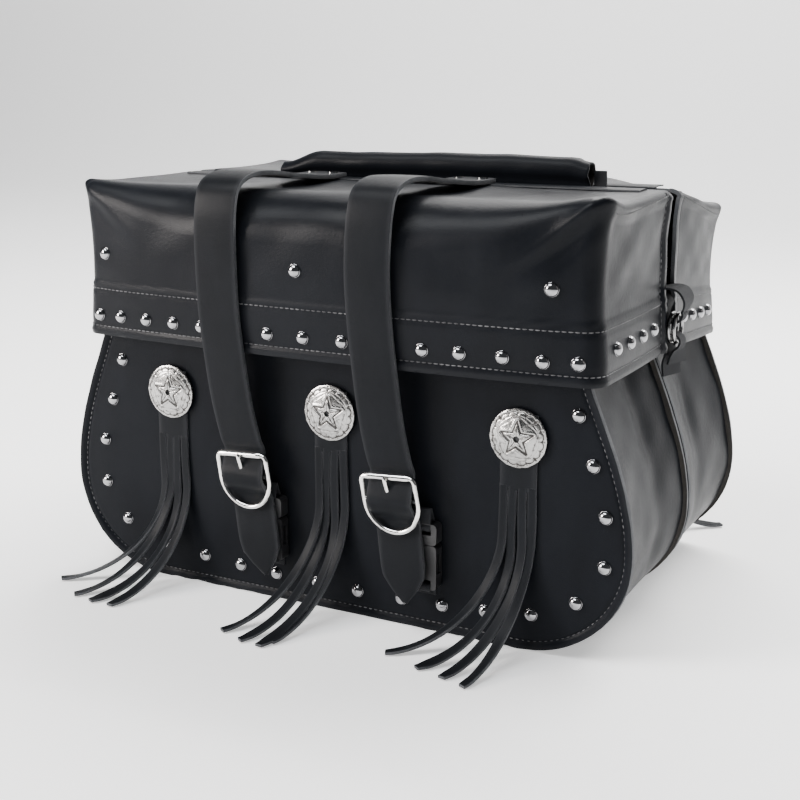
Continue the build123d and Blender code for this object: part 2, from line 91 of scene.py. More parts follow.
# ---- shader maths ---------------------------------------------------------------------------
class Value:
    """A number socket of a node tree that can be written in expressions."""

    def __init__(self, graph: "Graph", socket: Any) -> None:
        """Wrap an output socket."""
        self.graph = graph
        self.socket = socket

    def apply(self, operation: str, *others: Any, flip: bool = False) -> "Value":
        """Add a Math node.

        Args:
            operation: The node's operation.
            others: Its further inputs.
            flip: Whether this value comes last.

        Returns:
            The result.
        """
        parts = [self, *others]
        if flip:
            parts.reverse()
        made = self.graph.node("ShaderNodeMath", {"operation": operation}, dict(enumerate(parts)))
        return Value(self.graph, made.outputs[0])

    def __add__(self, other: Any) -> "Value":
        """Sum."""
        return self.apply("ADD", other)

    __radd__ = __add__

    def __mul__(self, other: Any) -> "Value":
        """Product."""
        return self.apply("MULTIPLY", other)

    __rmul__ = __mul__

    def __sub__(self, other: Any) -> "Value":
        """Difference."""
        return self.apply("SUBTRACT", other)

    def __rsub__(self, other: Any) -> "Value":
        """Difference, the other way round."""
        return self.apply("SUBTRACT", other, flip=True)

    def ramp(self, low: float, high: float, to_low: float = 0.0, to_high: float = 1.0) -> "Value":
        """Map a range smoothly onto another.

        Args:
            low: Value that maps to to_low.
            high: Value that maps to to_high.
            to_low: Result below low.
            to_high: Result above high.

        Returns:
            The mapped value, held at both ends.
        """
        settings = {"interpolation_type": "SMOOTHSTEP"}
        inputs = {"Value": self, "From Min": low, "From Max": high, "To Min": to_low, "To Max": to_high}
        return Value(self.graph, self.graph.node("ShaderNodeMapRange", settings, inputs).outputs[0])


class Graph:
    """A material's node tree, built from short calls."""

    def __init__(self, name: str) -> None:
        """Start a material with a Principled shader."""
        self.material = bpy.data.materials.new(name)
        self.material.use_nodes = True
        self.tree = self.material.node_tree
        self.tree.nodes.clear()
        output = self.node("ShaderNodeOutputMaterial", {}, {})
        self.shader = self.node("ShaderNodeBsdfPrincipled", {}, {})
        self.tree.links.new(self.shader.outputs[0], output.inputs["Surface"])

    def node(self, kind: str, settings: dict[str, Any], inputs: dict[Any, Any]) -> Any:
        """Add a node.

        Args:
            kind: The node's type.
            settings: Its own properties, set first.
            inputs: Values or links for its sockets, by name or number.

        Returns:
            The new node.
        """
        made = self.tree.nodes.new(kind)
        for key, value in settings.items():
            setattr(made, key, value)
        for key, value in inputs.items():
            self.feed(made.inputs[key], value)
        return made

    def feed(self, socket: Any, value: Any) -> None:
        """Set a socket's value, or link it."""
        if isinstance(value, Value):
            self.tree.links.new(value.socket, socket)
        elif hasattr(value, "is_output"):
            self.tree.links.new(value, socket)
        elif isinstance(value, tuple) and len(value) == 3 and len(getattr(socket, "default_value", ())) == 4:
            socket.default_value = (*value, 1.0)
        else:
            socket.default_value = value

    def surface(self, **inputs: Any) -> None:
        """Feed the Principled shader's sockets, with underscores for the spaces in their names."""
        for key, value in inputs.items():
            self.feed(self.shader.inputs[key.replace("_", " ")], value)

    def place(self) -> Any:
        """The object's own coordinates, which follow a piece as it moves."""
        return self.node("ShaderNodeTexCoord", {}, {}).outputs["Object"]

    def noise(self, scale: float, detail: float = 2.0, rough: float = 0.5, stretch: Any = None) -> Value:
        """Noise over the object.

        Args:
            scale: Cells per metre.
            detail: Octaves.
            rough: How strong the fine octaves are.
            stretch: Optional scale along X, Y and Z.

        Returns:
            The noise, from 0 to 1.
        """
        where = self.place()
        if stretch:
            where = self.node("ShaderNodeMapping", {}, {"Vector": where, "Scale": stretch}).outputs[0]
        inputs = {"Vector": where, "Scale": scale, "Detail": detail, "Roughness": rough}
        return Value(self, self.node("ShaderNodeTexNoise", {}, inputs).outputs[0])

    def cells(self, scale: float) -> Value:
        """Distance to the nearest cell point, at a number of cells per metre."""
        inputs = {"Vector": self.place(), "Scale": scale}
        return Value(self, self.node("ShaderNodeTexVoronoi", {}, inputs).outputs[0])

    def paint(self, name: str) -> Value:
        """A mask painted on the mesh."""
        made = self.node("ShaderNodeAttribute", {"attribute_name": name}, {})
        return Value(self, made.outputs["Fac"])

    def mix(self, mask: Value, first: Any, second: Any) -> Any:
        """Mix two colours by a mask."""
        settings = {"data_type": "RGBA"}
        made = self.node("ShaderNodeMix", settings, {0: mask, 6: first, 7: second})
        return made.outputs[2]

    def bump(self, height: Value, depth: float, below: Any = None) -> Any:
        """A bump from a height.

        Args:
            height: Height from 0 to 1.
            depth: How deep that is, in metres.
            below: A normal that this bump adds to.

        Returns:
            The normal socket.
        """
        inputs: dict[str, Any] = {"Height": height, "Distance": depth, "Strength": 1.0}
        if below is not None:
            inputs["Normal"] = below
        return self.node("ShaderNodeBump", {}, inputs).outputs[0]


# ---- finishes -------------------------------------------------------------------------------
@dataclass(frozen=True)
class Leather:
    """Smooth finished hide: fine pebble grain, soft pull-up marks and a waxed sheen."""

    name: str
    color: tuple[float, float, float] = (0.0045, 0.0052, 0.0068)
    worn: tuple[float, float, float] = (0.016, 0.017, 0.019)
    roughness: float = 0.37
    ior: float = 1.13
    grain_depth: float = 0.00006
    coat: float = 0.015
    coat_roughness: float = 0.25
    cloud_scale: float = 9.0
    streak_scale: float = 60.0
    pore_scale: float = 1500.0
    wrinkle_scale: float = 420.0
    lighter: float = 1.45

    def make(self) -> Any:
        """Build the material."""
        g = Graph(self.name)
        cloud = g.noise(self.cloud_scale, 3.0, 0.55)
        streak = g.noise(self.streak_scale, 3.0, 0.6, (1.0, 1.0, 0.25))
        pores = g.cells(self.pore_scale)
        wrinkle = g.noise(self.wrinkle_scale, 4.0, 0.62)
        mottled = (cloud * 0.65 + streak * 0.35).ramp(0.34, 0.72)
        rub = g.paint("rub")
        tone = g.mix(mottled, self.color, tuple(self.lighter * c for c in self.color))
        tone = g.mix(rub * 0.6, tone, self.worn)
        rough = self.roughness + (mottled - 0.5) * 0.10 + (wrinkle - 0.5) * 0.12 + rub * 0.06
        coarse = g.bump(wrinkle, self.grain_depth * 2.2)
        fine = g.bump(pores, self.grain_depth, coarse)
        g.surface(Base_Color=tone, Roughness=rough, Normal=fine)
        g.surface(IOR=self.ior, Coat_Weight=self.coat, Coat_Roughness=self.coat_roughness)
        return g.material


@dataclass(frozen=True)
class CutEdge:
    """The raw cut edge of thick hide: fibrous, dull and paler than its face."""

    name: str = "cut_edge"
    color: tuple[float, float, float] = (0.035, 0.038, 0.043)
    pale: tuple[float, float, float] = (0.085, 0.088, 0.094)

    def make(self) -> Any:
        """Build the material."""
        g = Graph(self.name)
        fibre = g.noise(900.0, 4.0, 0.7)
        patch = g.noise(70.0, 2.0)
        mask = (fibre * 0.6 + patch * 0.4).ramp(0.35, 0.68)
        g.surface(Base_Color=g.mix(mask, self.color, self.pale), Roughness=0.62 + fibre * 0.2)
        g.surface(Normal=g.bump(fibre, 0.00025), Specular_IOR_Level=0.4)
        return g.material


@dataclass(frozen=True)
class Flesh:
    """The inner, unfinished side of the hide."""

    name: str = "flesh_side"
    color: tuple[float, float, float] = (0.020, 0.018, 0.017)
    pale: tuple[float, float, float] = (0.045, 0.041, 0.037)

    def make(self) -> Any:
        """Build the material."""
        g = Graph(self.name)
        nap = g.noise(650.0, 5.0, 0.7)
        patch = g.noise(14.0, 3.0)
        mask = (nap * 0.5 + patch * 0.5).ramp(0.3, 0.7)
        g.surface(Base_Color=g.mix(mask, self.color, self.pale), Roughness=0.8 + nap * 0.15)
        g.surface(Normal=g.bump(nap, 0.0002), Sheen_Weight=0.15, Specular_IOR_Level=0.3)
        return g.material


@dataclass(frozen=True)
class Plated:
    """Polished plating with a faint waviness and fine handling marks."""

    name: str
    color: tuple[float, float, float] = (0.82, 0.81, 0.79)
    roughness: float = 0.10

    def make(self) -> Any:
        """Build the material."""
        g = Graph(self.name)
        haze = g.noise(220.0, 3.0, 0.6)
        marks = g.noise(1400.0, 2.0, 0.6, (1.0, 1.0, 0.15))
        tone = g.mix(haze.ramp(0.3, 0.75), self.color, tuple(0.86 * c for c in self.color))
        rough = self.roughness + haze.ramp(0.4, 0.8) * 0.07 + marks.ramp(0.62, 0.8) * 0.08
        g.surface(Base_Color=tone, Roughness=rough, Metallic=1.0, Normal=g.bump(haze, 0.00003))
        return g.material


@dataclass(frozen=True)
class OldSilver:
    """Cast ornament metal: bright on its high places and dark in its engraving."""

    name: str = "old_silver"
    bright: tuple[float, float, float] = (0.40, 0.395, 0.385)
    dark: tuple[float, float, float] = (0.045, 0.042, 0.040)

    def make(self) -> Any:
        """Build the material."""
        g = Graph(self.name)
        cut = g.paint("engraved")
        stain = g.noise(330.0, 4.0, 0.65)
        mask = (cut * 0.95 + stain.ramp(0.42, 0.75) * 0.65).ramp(0.10, 0.85)
        g.surface(Base_Color=g.mix(mask, self.bright, self.dark), Metallic=1.0 - mask * 0.35)
        g.surface(Roughness=0.20 + mask * 0.38 + (stain - 0.5) * 0.12, Normal=g.bump(stain, 0.00010))
        return g.material


@dataclass(frozen=True)
class Moulded:
    """Moulded black plastic with a fine spark-eroded texture."""

    name: str = "moulded_plastic"
    color: tuple[float, float, float] = (0.010, 0.010, 0.011)

    def make(self) -> Any:
        """Build the material."""
        g = Graph(self.name)
        texture = g.noise(1800.0, 2.0, 0.6)
        flow = g.noise(45.0, 2.0)
        tone = g.mix(flow.ramp(0.35, 0.7), self.color, tuple(1.7 * c for c in self.color))
        g.surface(Base_Color=tone, Roughness=0.38 + texture * 0.18, Normal=g.bump(texture, 0.00004))
        return g.material


@dataclass(frozen=True)
class Webbing:
    """Woven tape: ribs across it and a twill along it."""

    name: str = "webbing"
    color: tuple[float, float, float] = (0.008, 0.009, 0.011)
    lit: tuple[float, float, float] = (0.020, 0.021, 0.024)
    rib: float = 1.5 * MM
    twill: float = 1.2

    def make(self) -> Any:
        """Build the material."""
        g = Graph(self.name)
        turns = 2.0 * math.pi / self.rib
        across = g.node("ShaderNodeSeparateXYZ", {}, {0: g.place()})
        x, y, z = (Value(g, socket) for socket in across.outputs)
        wave_z = (z * turns).apply("SINE")
        wave_y = (y * turns * self.twill + x * turns * self.twill).apply("SINE")
        weave = (wave_z * wave_y) * 0.5 + 0.5
        fuzz = g.noise(2600.0, 3.0)
        height = weave * 0.8 + fuzz * 0.2
        g.surface(Base_Color=g.mix(height, self.color, self.lit), Roughness=0.72 + fuzz * 0.15)
        g.surface(Normal=g.bump(height, 0.00035), Sheen_Weight=0.04, Specular_IOR_Level=0.2)
        return g.material


@dataclass(frozen=True)
class Thread:
    """Waxed sewing thread, a little greyed where it rubs."""

    name: str = "thread"
    color: tuple[float, float, float] = (0.035, 0.035, 0.038)
    pale: tuple[float, float, float] = (0.13, 0.13, 0.135)

    def make(self) -> Any:
        """Build the material."""
        g = Graph(self.name)
        wear = g.noise(38.0, 3.0, 0.6)
        twist = g.noise(2400.0, 2.0)
        g.surface(Base_Color=g.mix(wear.ramp(0.42, 0.66), self.color, self.pale))
        g.surface(Roughness=0.45 + twist * 0.2, Normal=g.bump(twist, 0.00010))
        return g.material


@dataclass(frozen=True)
class Fibreboard:
    """Pressed stiffener board in the bottom of each bag."""

    name: str = "fibreboard"
    color: tuple[float, float, float] = (0.020, 0.017, 0.014)
    pale: tuple[float, float, float] = (0.055, 0.045, 0.036)

    def make(self) -> Any:
        """Build the material."""
        g = Graph(self.name)
        fibre = g.noise(300.0, 5.0, 0.75)
        g.surface(Base_Color=g.mix(fibre.ramp(0.35, 0.7), self.color, self.pale))
        g.surface(Roughness=0.85, Normal=g.bump(fibre, 0.0002))
        return g.material


@dataclass(frozen=True)
class Paper:
    """The studio's pale seamless floor."""

    name: str = "seamless_paper"
    color: tuple[float, float, float] = (0.88, 0.88, 0.88)
    glow: float = 0.62

    def make(self) -> Any:
        """Build the material."""
        g = Graph(self.name)
        tooth = g.noise(90.0, 3.0)
        tone = g.mix(tooth.ramp(0.3, 0.7), self.color, tuple(0.985 * c for c in self.color))
        g.surface(Base_Color=tone, Roughness=0.9, Specular_IOR_Level=0.1)
        g.surface(Emission_Color=tone, Emission_Strength=self.glow)
        return g.material


@dataclass
class Wardrobe:
    """Every finish, made once."""

    hide: Any = field(default_factory=lambda: Leather("hide").make())
    lid_hide: Any = field(default_factory=lambda: Leather("lid_hide", roughness=0.34, ior=1.16).make())
    strap_hide: Any = field(
        default_factory=lambda: Leather(
            "strap_hide", color=(0.0065, 0.0072, 0.0085), worn=(0.026, 0.027, 0.030), roughness=0.42
        ).make()
    )
    edge: Any = field(default_factory=lambda: CutEdge().make())
    flesh: Any = field(default_factory=lambda: Flesh().make())
    chrome: Any = field(default_factory=lambda: Plated("chrome").make())
    spot_chrome: Any = field(
        default_factory=lambda: Plated("spot_chrome", color=(0.34, 0.34, 0.35), roughness=0.07).make()
    )
    dark_chrome: Any = field(
        default_factory=lambda: Plated("dark_chrome", color=(0.30, 0.30, 0.30), roughness=0.22).make()
    )
    silver: Any = field(default_factory=lambda: OldSilver().make())
    plastic: Any = field(default_factory=lambda: Moulded().make())
    tape: Any = field(default_factory=lambda: Webbing().make())
    thread: Any = field(default_factory=lambda: Thread().make())
    board: Any = field(default_factory=lambda: Fibreboard().make())
    paper: Any = field(default_factory=lambda: Paper().make())

    def coat(self) -> list[Any]:
        """Face, cut edge and flesh side of the bag's hide."""
        return [self.hide, self.edge, self.flesh]

    def lid_coat(self) -> list[Any]:
        """Face, cut edge and flesh side of the lid's hide."""
        return [self.lid_hide, self.edge, self.flesh]

    def strap_coat(self) -> list[Any]:
        """Face, cut edge and flesh side of the straps' hide."""
        return [self.strap_hide, self.edge, self.flesh]


# ---- mesh making ----------------------------------------------------------------------------
Array = np.ndarray


def smooth(low: float, high: float, x: Any) -> Any:
    """Smoothstep of x between low and high."""
    t = np.clip((np.asarray(x, float) - low) / (high - low), 0.0, 1.0)
    return t * t * (3.0 - 2.0 * t)


def wobble(p: Array, scale: float, seed: float) -> Array:
    """A soft, even waviness over points, from about -1 to 1.

    Args:
        p: Points, in millimetres, along the last axis.
        scale: Wavelength, in millimetres.
        seed: Shifts the pattern.

    Returns:
        One value for each point.
    """
    k = 2.0 * math.pi / scale
    x, y, z = p[..., 0], p[..., 1], p[..., 2]
    first = np.sin(k * (x + 0.6 * z) + seed) * np.cos(k * (0.8 * z - 0.5 * y) + 1.7 * seed)
    second = np.sin(k * 1.9 * (0.7 * x - z) + 2.3 * seed) * np.cos(k * 1.6 * (y + 0.4 * x) + seed)
    return 0.65 * first + 0.35 * second


def through(points: Sequence[Sequence[float]], count: int) -> Array:
    """A smooth line through points, evenly spaced along its length.

    Args:
        points: Places to pass through.
        count: How many points to return.

    Returns:
        Array of count points.
    """
    p = np.asarray(points, float)
    ends = np.vstack([2 * p[0] - p[1], p, 2 * p[-1] - p[-2]])
    pieces = []
    for i in range(len(p) - 1):
        a, b, c, d = ends[i : i + 4]
        t = np.linspace(0.0, 1.0, 24, endpoint=False)[:, None]
        curve = 2 * b + (c - a) * t + (2 * a - 5 * b + 4 * c - d) * t**2 + (3 * b - a - 3 * c + d) * t**3
        pieces.append(0.5 * curve)
    line = np.vstack(pieces + [p[-1:]])
    return respace(line, count)


def respace(line: Array, count: int) -> Array:
    """Points evenly spaced along a polyline."""
    steps = np.linalg.norm(np.diff(line, axis=0), axis=1)
    along = np.concatenate([[0.0], np.cumsum(steps)])
    want = np.linspace(0.0, along[-1], count)
    return np.stack([np.interp(want, along, line[:, k]) for k in range(line.shape[1])], axis=1)


def unit(v: Array) -> Array:
    """Vectors of length one."""
    return v / np.maximum(np.linalg.norm(v, axis=-1, keepdims=True), 1e-12)


def grid_normals(p: Array) -> Array:
    """Normals of a grid of points, from its rows and columns."""
    return unit(np.cross(np.gradient(p, axis=1), np.gradient(p, axis=0)))


def hoops(count: int, sides: int, closed: bool = False) -> list[tuple[int, ...]]:
    """Faces between rings of points, with a cap at each end of an open run.

    Args:
        count: Number of rings.
        sides: Points in each ring.
        closed: Whether the last ring joins the first.

    Returns:
        The corner numbers of each face.
    """
    faces: list[tuple[int, ...]] = []
    for i in range(count if closed else count - 1):
        a, b = i * sides, (i + 1) % count * sides
        for j in range(sides):
            k = (j + 1) % sides
            faces.append((a + j, a + k, b + k, b + j))
    if not closed:
        faces.append(tuple(reversed(range(sides))))
        faces.append(tuple((count - 1) * sides + j for j in range(sides)))
    return faces


def ribbon(x: Array, section: Array) -> Array:
    """Grid of points of a sheet that runs along X, from its section in Y and Z."""
    p = np.zeros((len(section), len(x), 3))
    p[..., 0] = x[None, :]
    p[..., 1], p[..., 2] = section[:, :1], section[:, 1:]
    return p


def new_object(name: str, verts: Any, faces: Sequence[Sequence[int]]) -> Any:
    """An object of vertices, in metres, and faces, put in the scene."""
    mesh = bpy.data.meshes.new(name)
    mesh.from_pydata(np.asarray(verts, float).tolist(), [], faces)
    mesh.polygons.foreach_set("use_smooth", np.ones(len(faces), bool))
    obj = bpy.data.objects.new(name, mesh)
    bpy.context.scene.collection.objects.link(obj)
    return obj


@dataclass(frozen=True)
class Stitch:
    """One stitch of heavy thread, in millimetres."""

    pitch: float = 4.2
    length: float = 3.1
    radius: float = 0.42
    sunk: float = 0.05
    arch: float = 0.55
    rings: int = 5
    sides: int = 6

    def shape(self, where: Array, forward: Array, up: Array) -> Array:
        """Points of a stitch that lies at a place, forward along its seam."""
        side = np.cross(up, forward)
        verts = []
        for t in np.linspace(-1.0, 1.0, self.rings):
            width = self.radius * math.sqrt(max(1 - t * t * 0.86, 0.05))
            rise = self.radius * self.arch * (1 - t * t) - self.sunk
            middle = where + forward * t * self.length / 2 + up * rise
            for j in range(self.sides):
                a = 2 * math.pi * j / self.sides
                verts.append(middle + side * width * math.cos(a) + up * width * math.sin(a))
        return np.array(verts)


STITCH = Stitch()


@dataclass
class Shell:
    """Vertices and faces of one piece, in millimetres, with a finish number for each face."""

    verts: list[Array] = field(default_factory=list)
    faces: list[tuple[int, ...]] = field(default_factory=list)
    finish: list[int] = field(default_factory=list)
    masks: dict[str, list[Array]] = field(default_factory=dict)
    count: int = 0

    def add(self, verts: Array, faces: Iterable[Sequence[int]], **masks: Array) -> None:
        """Add vertices and faces, with the piece's first finish.

        Args:
            verts: Points, one per row.
            faces: Corner numbers within verts.
            masks: Painted values, one per vertex.
        """
        verts = np.asarray(verts, float).reshape(-1, 3)
        for name in set(masks) - set(self.masks):
            self.masks[name] = [np.zeros(self.count)]
        for name, stored in self.masks.items():
            stored.append(np.asarray(masks.get(name, np.zeros(len(verts))), float).ravel())
        self.verts.append(verts)
        for face in faces:
            self.faces.append(tuple(int(i) + self.count for i in face))
            self.finish.append(0)
        self.count += len(verts)

    def points(self, turn: float) -> Array:
        """Every vertex in metres; -1 turns them half a turn about Z."""
        return np.concatenate(self.verts) * np.array([turn, turn, 1.0]) * MM

    def thick(self, p: Array, thickness: float, rub: Array | None = None, both_faces: bool = False) -> None:
        """Add a sheet with thickness and a cut edge round it.

        Args:
            p: Grid of points on the middle of the sheet.
            thickness: The sheet's thickness.
            rub: How worn the face is at each point.
            both_faces: Whether the back has the face's finish too.
        """
        rows, cols = p.shape[:2]
        half = grid_normals(p) * (thickness / 2.0)
        rub = np.zeros((rows, cols)) if rub is None else rub
        number = np.arange(rows * cols).reshape(rows, cols)
        verts = np.concatenate([(p + half).reshape(-1, 3), (p - half).reshape(-1, 3)])
        back = rows * cols
        face, under, rim = [], [], []
        for r in range(rows - 1):
            for c in range(cols - 1):
                a, b, d, e = number[r, c], number[r, c + 1], number[r + 1, c + 1], number[r + 1, c]
                face.append((a, b, d, e))
                under.append((a + back, e + back, d + back, b + back))
                sides = ((r == 0, a, b), (c == cols - 2, b, d), (r == rows - 2, d, e), (c == 0, e, a))
                rim += [(j, i, i + back, j + back) for outer, i, j in sides if outer]
        start = self.count
        self.add(verts, face, rub=np.tile(rub.ravel(), 2))
        for faces, finish in ((under, 0 if both_faces else 2), (rim, 1)):
            for corners in faces:
                self.faces.append(tuple(int(i) + start for i in corners))
                self.finish.append(finish)

    def turned(self, profile: Array, centre: Array, axis: Array, sides: int) -> None:
        """Add a turned form: a profile of radius and height, spun about an axis.

        Args:
            profile: Rows of radius and height, from its outside to its middle.
            centre: Where its base's middle stands.
            axis: Which way it points.
            sides: Number of facets.
        """
        z = unit(np.asarray(axis, float))
        helper = np.array([0.0, 0.0, 1.0]) if abs(z[2]) < 0.9 else np.array([1.0, 0.0, 0.0])
        x = unit(np.cross(helper, z))
        y = np.cross(z, x)
        angle = np.linspace(0.0, 2 * math.pi, sides, endpoint=False)
        spin = np.cos(angle)[:, None] * x + np.sin(angle)[:, None] * y
        verts = np.concatenate([centre + radius * spin + height * z for radius, height in profile])
        self.add(verts, hoops(len(profile), sides))

    def tube(self, path: Array, radius: Any, sides: int = 14, closed: bool = False) -> None:
        """Add a round wire along a path.

        Args:
            path: Points along its middle.
            radius: Its radius, or one for each point.
            sides: Number of facets round it.
            closed: Whether its end joins its start.
        """
        if closed:
            tangent = unit(np.roll(path, -1, 0) - np.roll(path, 1, 0))
        else:
            tangent = unit(np.gradient(path, axis=0))
        side = unit(np.cross(tangent, WIRE_SIDE))
        other = np.cross(tangent, side)
        angle = np.linspace(0, 2 * math.pi, sides, endpoint=False)
        r = np.broadcast_to(np.asarray(radius, float), (len(path),))[:, None, None]
        c, s = np.cos(angle)[None, :, None], np.sin(angle)[None, :, None]
        ring = c * side[:, None, :] + s * other[:, None, :]
        verts = (path[:, None, :] + r * ring).reshape(-1, 3)
        self.add(verts, hoops(len(path), sides, closed))

    def stitches(self, line: Array, normals: Array) -> None:
        """Add a run of stitches along a line on a surface.

        Args:
            line: Points along the seam.
            normals: The surface's normals there.
        """
        steps = np.linalg.norm(np.diff(line, axis=0), axis=1)
        along = np.concatenate([[0.0], np.cumsum(steps)])

        def at(distance: float, values: Array) -> Array:
            """Values at a distance along the seam."""
            return np.array([np.interp(distance, along, values[:, k]) for k in range(3)])

        for start in np.arange(STITCH.pitch / 2, along[-1] - STITCH.pitch / 2, STITCH.pitch):
            where = at(start, line)
            forward = unit(at(start + 0.5, line) - where)
            verts = STITCH.shape(where, forward, unit(at(start, normals)))
            self.add(verts, hoops(STITCH.rings, STITCH.sides))

    def piece(self, name: str, body: str, materials: Sequence[Any], slot: str, replaces: Sequence[str] = (),
              turn: float = 1.0, bevel: float = 0.0, ride: bool = True, cutter: Any = None) -> Any:
        """Make the object.

        Args:
            name: The piece's name.
            body: CAD body that it rides on.
            materials: Its finishes, by number.
            slot: Not used.
            replaces: CAD nodes that it stands for.
            turn: -1 turns it half a turn about Z.
            bevel: Rounding of its sharp edges, in millimetres.
            ride: Whether it rides on the body as it is.
            cutter: An object whose shape is cut out of it.

        Returns:
            The new object.
        """
        obj = new_object(name, self.points(turn), self.faces)
        mesh = obj.data
        for material in materials:
            mesh.materials.append(material)
        mesh.polygons.foreach_set("material_index", np.array(self.finish, np.int32))
        for mask, values in self.masks.items():
            attribute = mesh.attributes.new(mask, "FLOAT", "POINT")
            attribute.data.foreach_set("value", np.concatenate(values).astype(np.float32))
        mesh.validate()
        mesh.update()
        if cutter is not None:
            cut = obj.modifiers.new("cut", "BOOLEAN")
            cut.object = cutter
            cut.solver = "EXACT"
            bake(obj)
        if bevel:
            rounding = obj.modifiers.new("rounding", "BEVEL")
            rounding.width = bevel * MM
            rounding.segments = 2
            rounding.limit_method = "ANGLE"
            rounding.angle_limit = math.radians(SHARP_ANGLE)
            bake(obj)
        mark_sharp(obj)
        if replaces:
            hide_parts(*replaces)
        if ride:
            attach(obj, body)
        LOG.info("%s: %d faces on %s", name, len(obj.data.polygons), body)
        return obj


def bake(obj: Any) -> None:
    """Apply an object's modifiers to its mesh."""
    graph = bpy.context.evaluated_depsgraph_get()
    mesh = bpy.data.meshes.new_from_object(obj.evaluated_get(graph))
    obj.modifiers.clear()
    old = obj.data
    obj.data = mesh
    bpy.data.meshes.remove(old)
    mesh.name = obj.name


def mark_sharp(obj: Any) -> None:
    """Keep edges crisp where faces meet sharply."""
    obj.data.set_sharp_from_angle(angle=math.radians(SHARP_ANGLE))


def rod_cutter(name: str, shapes: Sequence[tuple[float, float, float, float]], x0: float, turn: float) -> Any:
    """A temporary object of slots and holes that run along Y.

    Args:
        name: Its name.
        shapes: For each hole: offset in X, lowest and highest Z, and radius.
        x0: Where the holes' middle is in X.
        turn: -1 turns it half a turn about Z.

    Returns:
        The object, to be removed after use.
    """
    shell = Shell()
    for dx, low, high, radius in shapes:
        ring = [
            (x0 + dx + radius * math.cos(a), z + radius * math.sin(a))
            for z, start in ((high - radius, 0.0), (low + radius, math.pi))
            for a in np.linspace(start, start + math.pi, 9)
        ]
        verts = [(x, y, z) for y in CUTTER_REACH for x, z in ring]
        shell.add(np.array(verts), hoops(2, len(ring)))
    return new_object(name, shell.points(turn), shell.faces)


def drop(obj: Any) -> None:
    """Remove a temporary object."""
    mesh = obj.data
    bpy.data.objects.remove(obj)
    bpy.data.meshes.remove(mesh)


def dress(node: str, material: Any) -> None:
    """Give a CAD node its finish."""
    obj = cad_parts[node]
    obj.data.materials.clear()
    obj.data.materials.append(material)


# ---- the bag's outline ----------------------------------------------------------------------
@dataclass(frozen=True)
class Outline:
    """The bag seen from the front: flat base, round belly and narrower shoulders, in millimetres."""

    base: float = 148.0
    belly: float = 226.0
    belly_z: float = 75.0
    shoulder: float = 194.0
    shoulder_z: float = 186.0
    mouth: float = 190.0
    mouth_z: float = 235.0
    open_z: float = 400.0
    ease: float = 0.42

    def edge(self, top_z: float, inset: float = 0.0) -> Array:
        """Right edge from the base up.

        Args:
            top_z: Height at which it stops.
            inset: How far it stands in from the outline.

        Returns:
            Rows of X and Z.
        """
        turn = np.linspace(0, math.pi / 2, 40)
        low_x = self.base + (self.belly - self.base) * np.sin(turn)
        low_z = self.belly_z * (1 - np.cos(turn))
        t = np.linspace(0, 1, 30)[1:]
        rise = self.shoulder_z - self.belly_z
        h00, h10 = 2 * t**3 - 3 * t**2 + 1, t**3 - 2 * t**2 + t
        h01, h11 = -2 * t**3 + 3 * t**2, t**3 - t**2
        high_x = h00 * self.belly + h01 * self.shoulder - h11 * self.ease * rise
        high_z = h00 * self.belly_z + h10 * rise + h01 * self.shoulder_z + h11 * rise
        x = np.concatenate([low_x, high_x, [self.mouth, self.mouth]]) - inset
        z = np.concatenate([low_z, high_z, [self.mouth_z, self.open_z]])
        z = np.maximum(z, 0.0)
        cut = z <= top_z
        top_x = np.interp(top_z, z, x)
        return np.stack([np.append(x[cut], top_x), np.append(z[cut], top_z)], axis=1)

    def half_width(self, z: Array, inset: float = 0.0) -> Array:
        """Half-width at a height."""
        edge = self.edge(self.open_z, inset)
        return np.interp(z, edge[:, 1], edge[:, 0])


OUTLINE = Outline()
NEAR_EDGE = np.array([0.0, 1.2, 2.6, 4.2, 5.6, 7.0, 8.6, 10.5, 13.0, 16.0, 20.0, 26.0])


def distance_to(points: Array, line: Array) -> Array:
    """Distance from flat points to a polyline."""
    best = np.full(points.shape[:-1], 1e9)
    for a, b in zip(line[:-1], line[1:]):
        d = b - a
        t = np.clip(((points - a) @ d) / max(d @ d, 1e-9), 0, 1)
        best = np.minimum(best, np.linalg.norm(points - (a + t[..., None] * d), axis=-1))
    return best


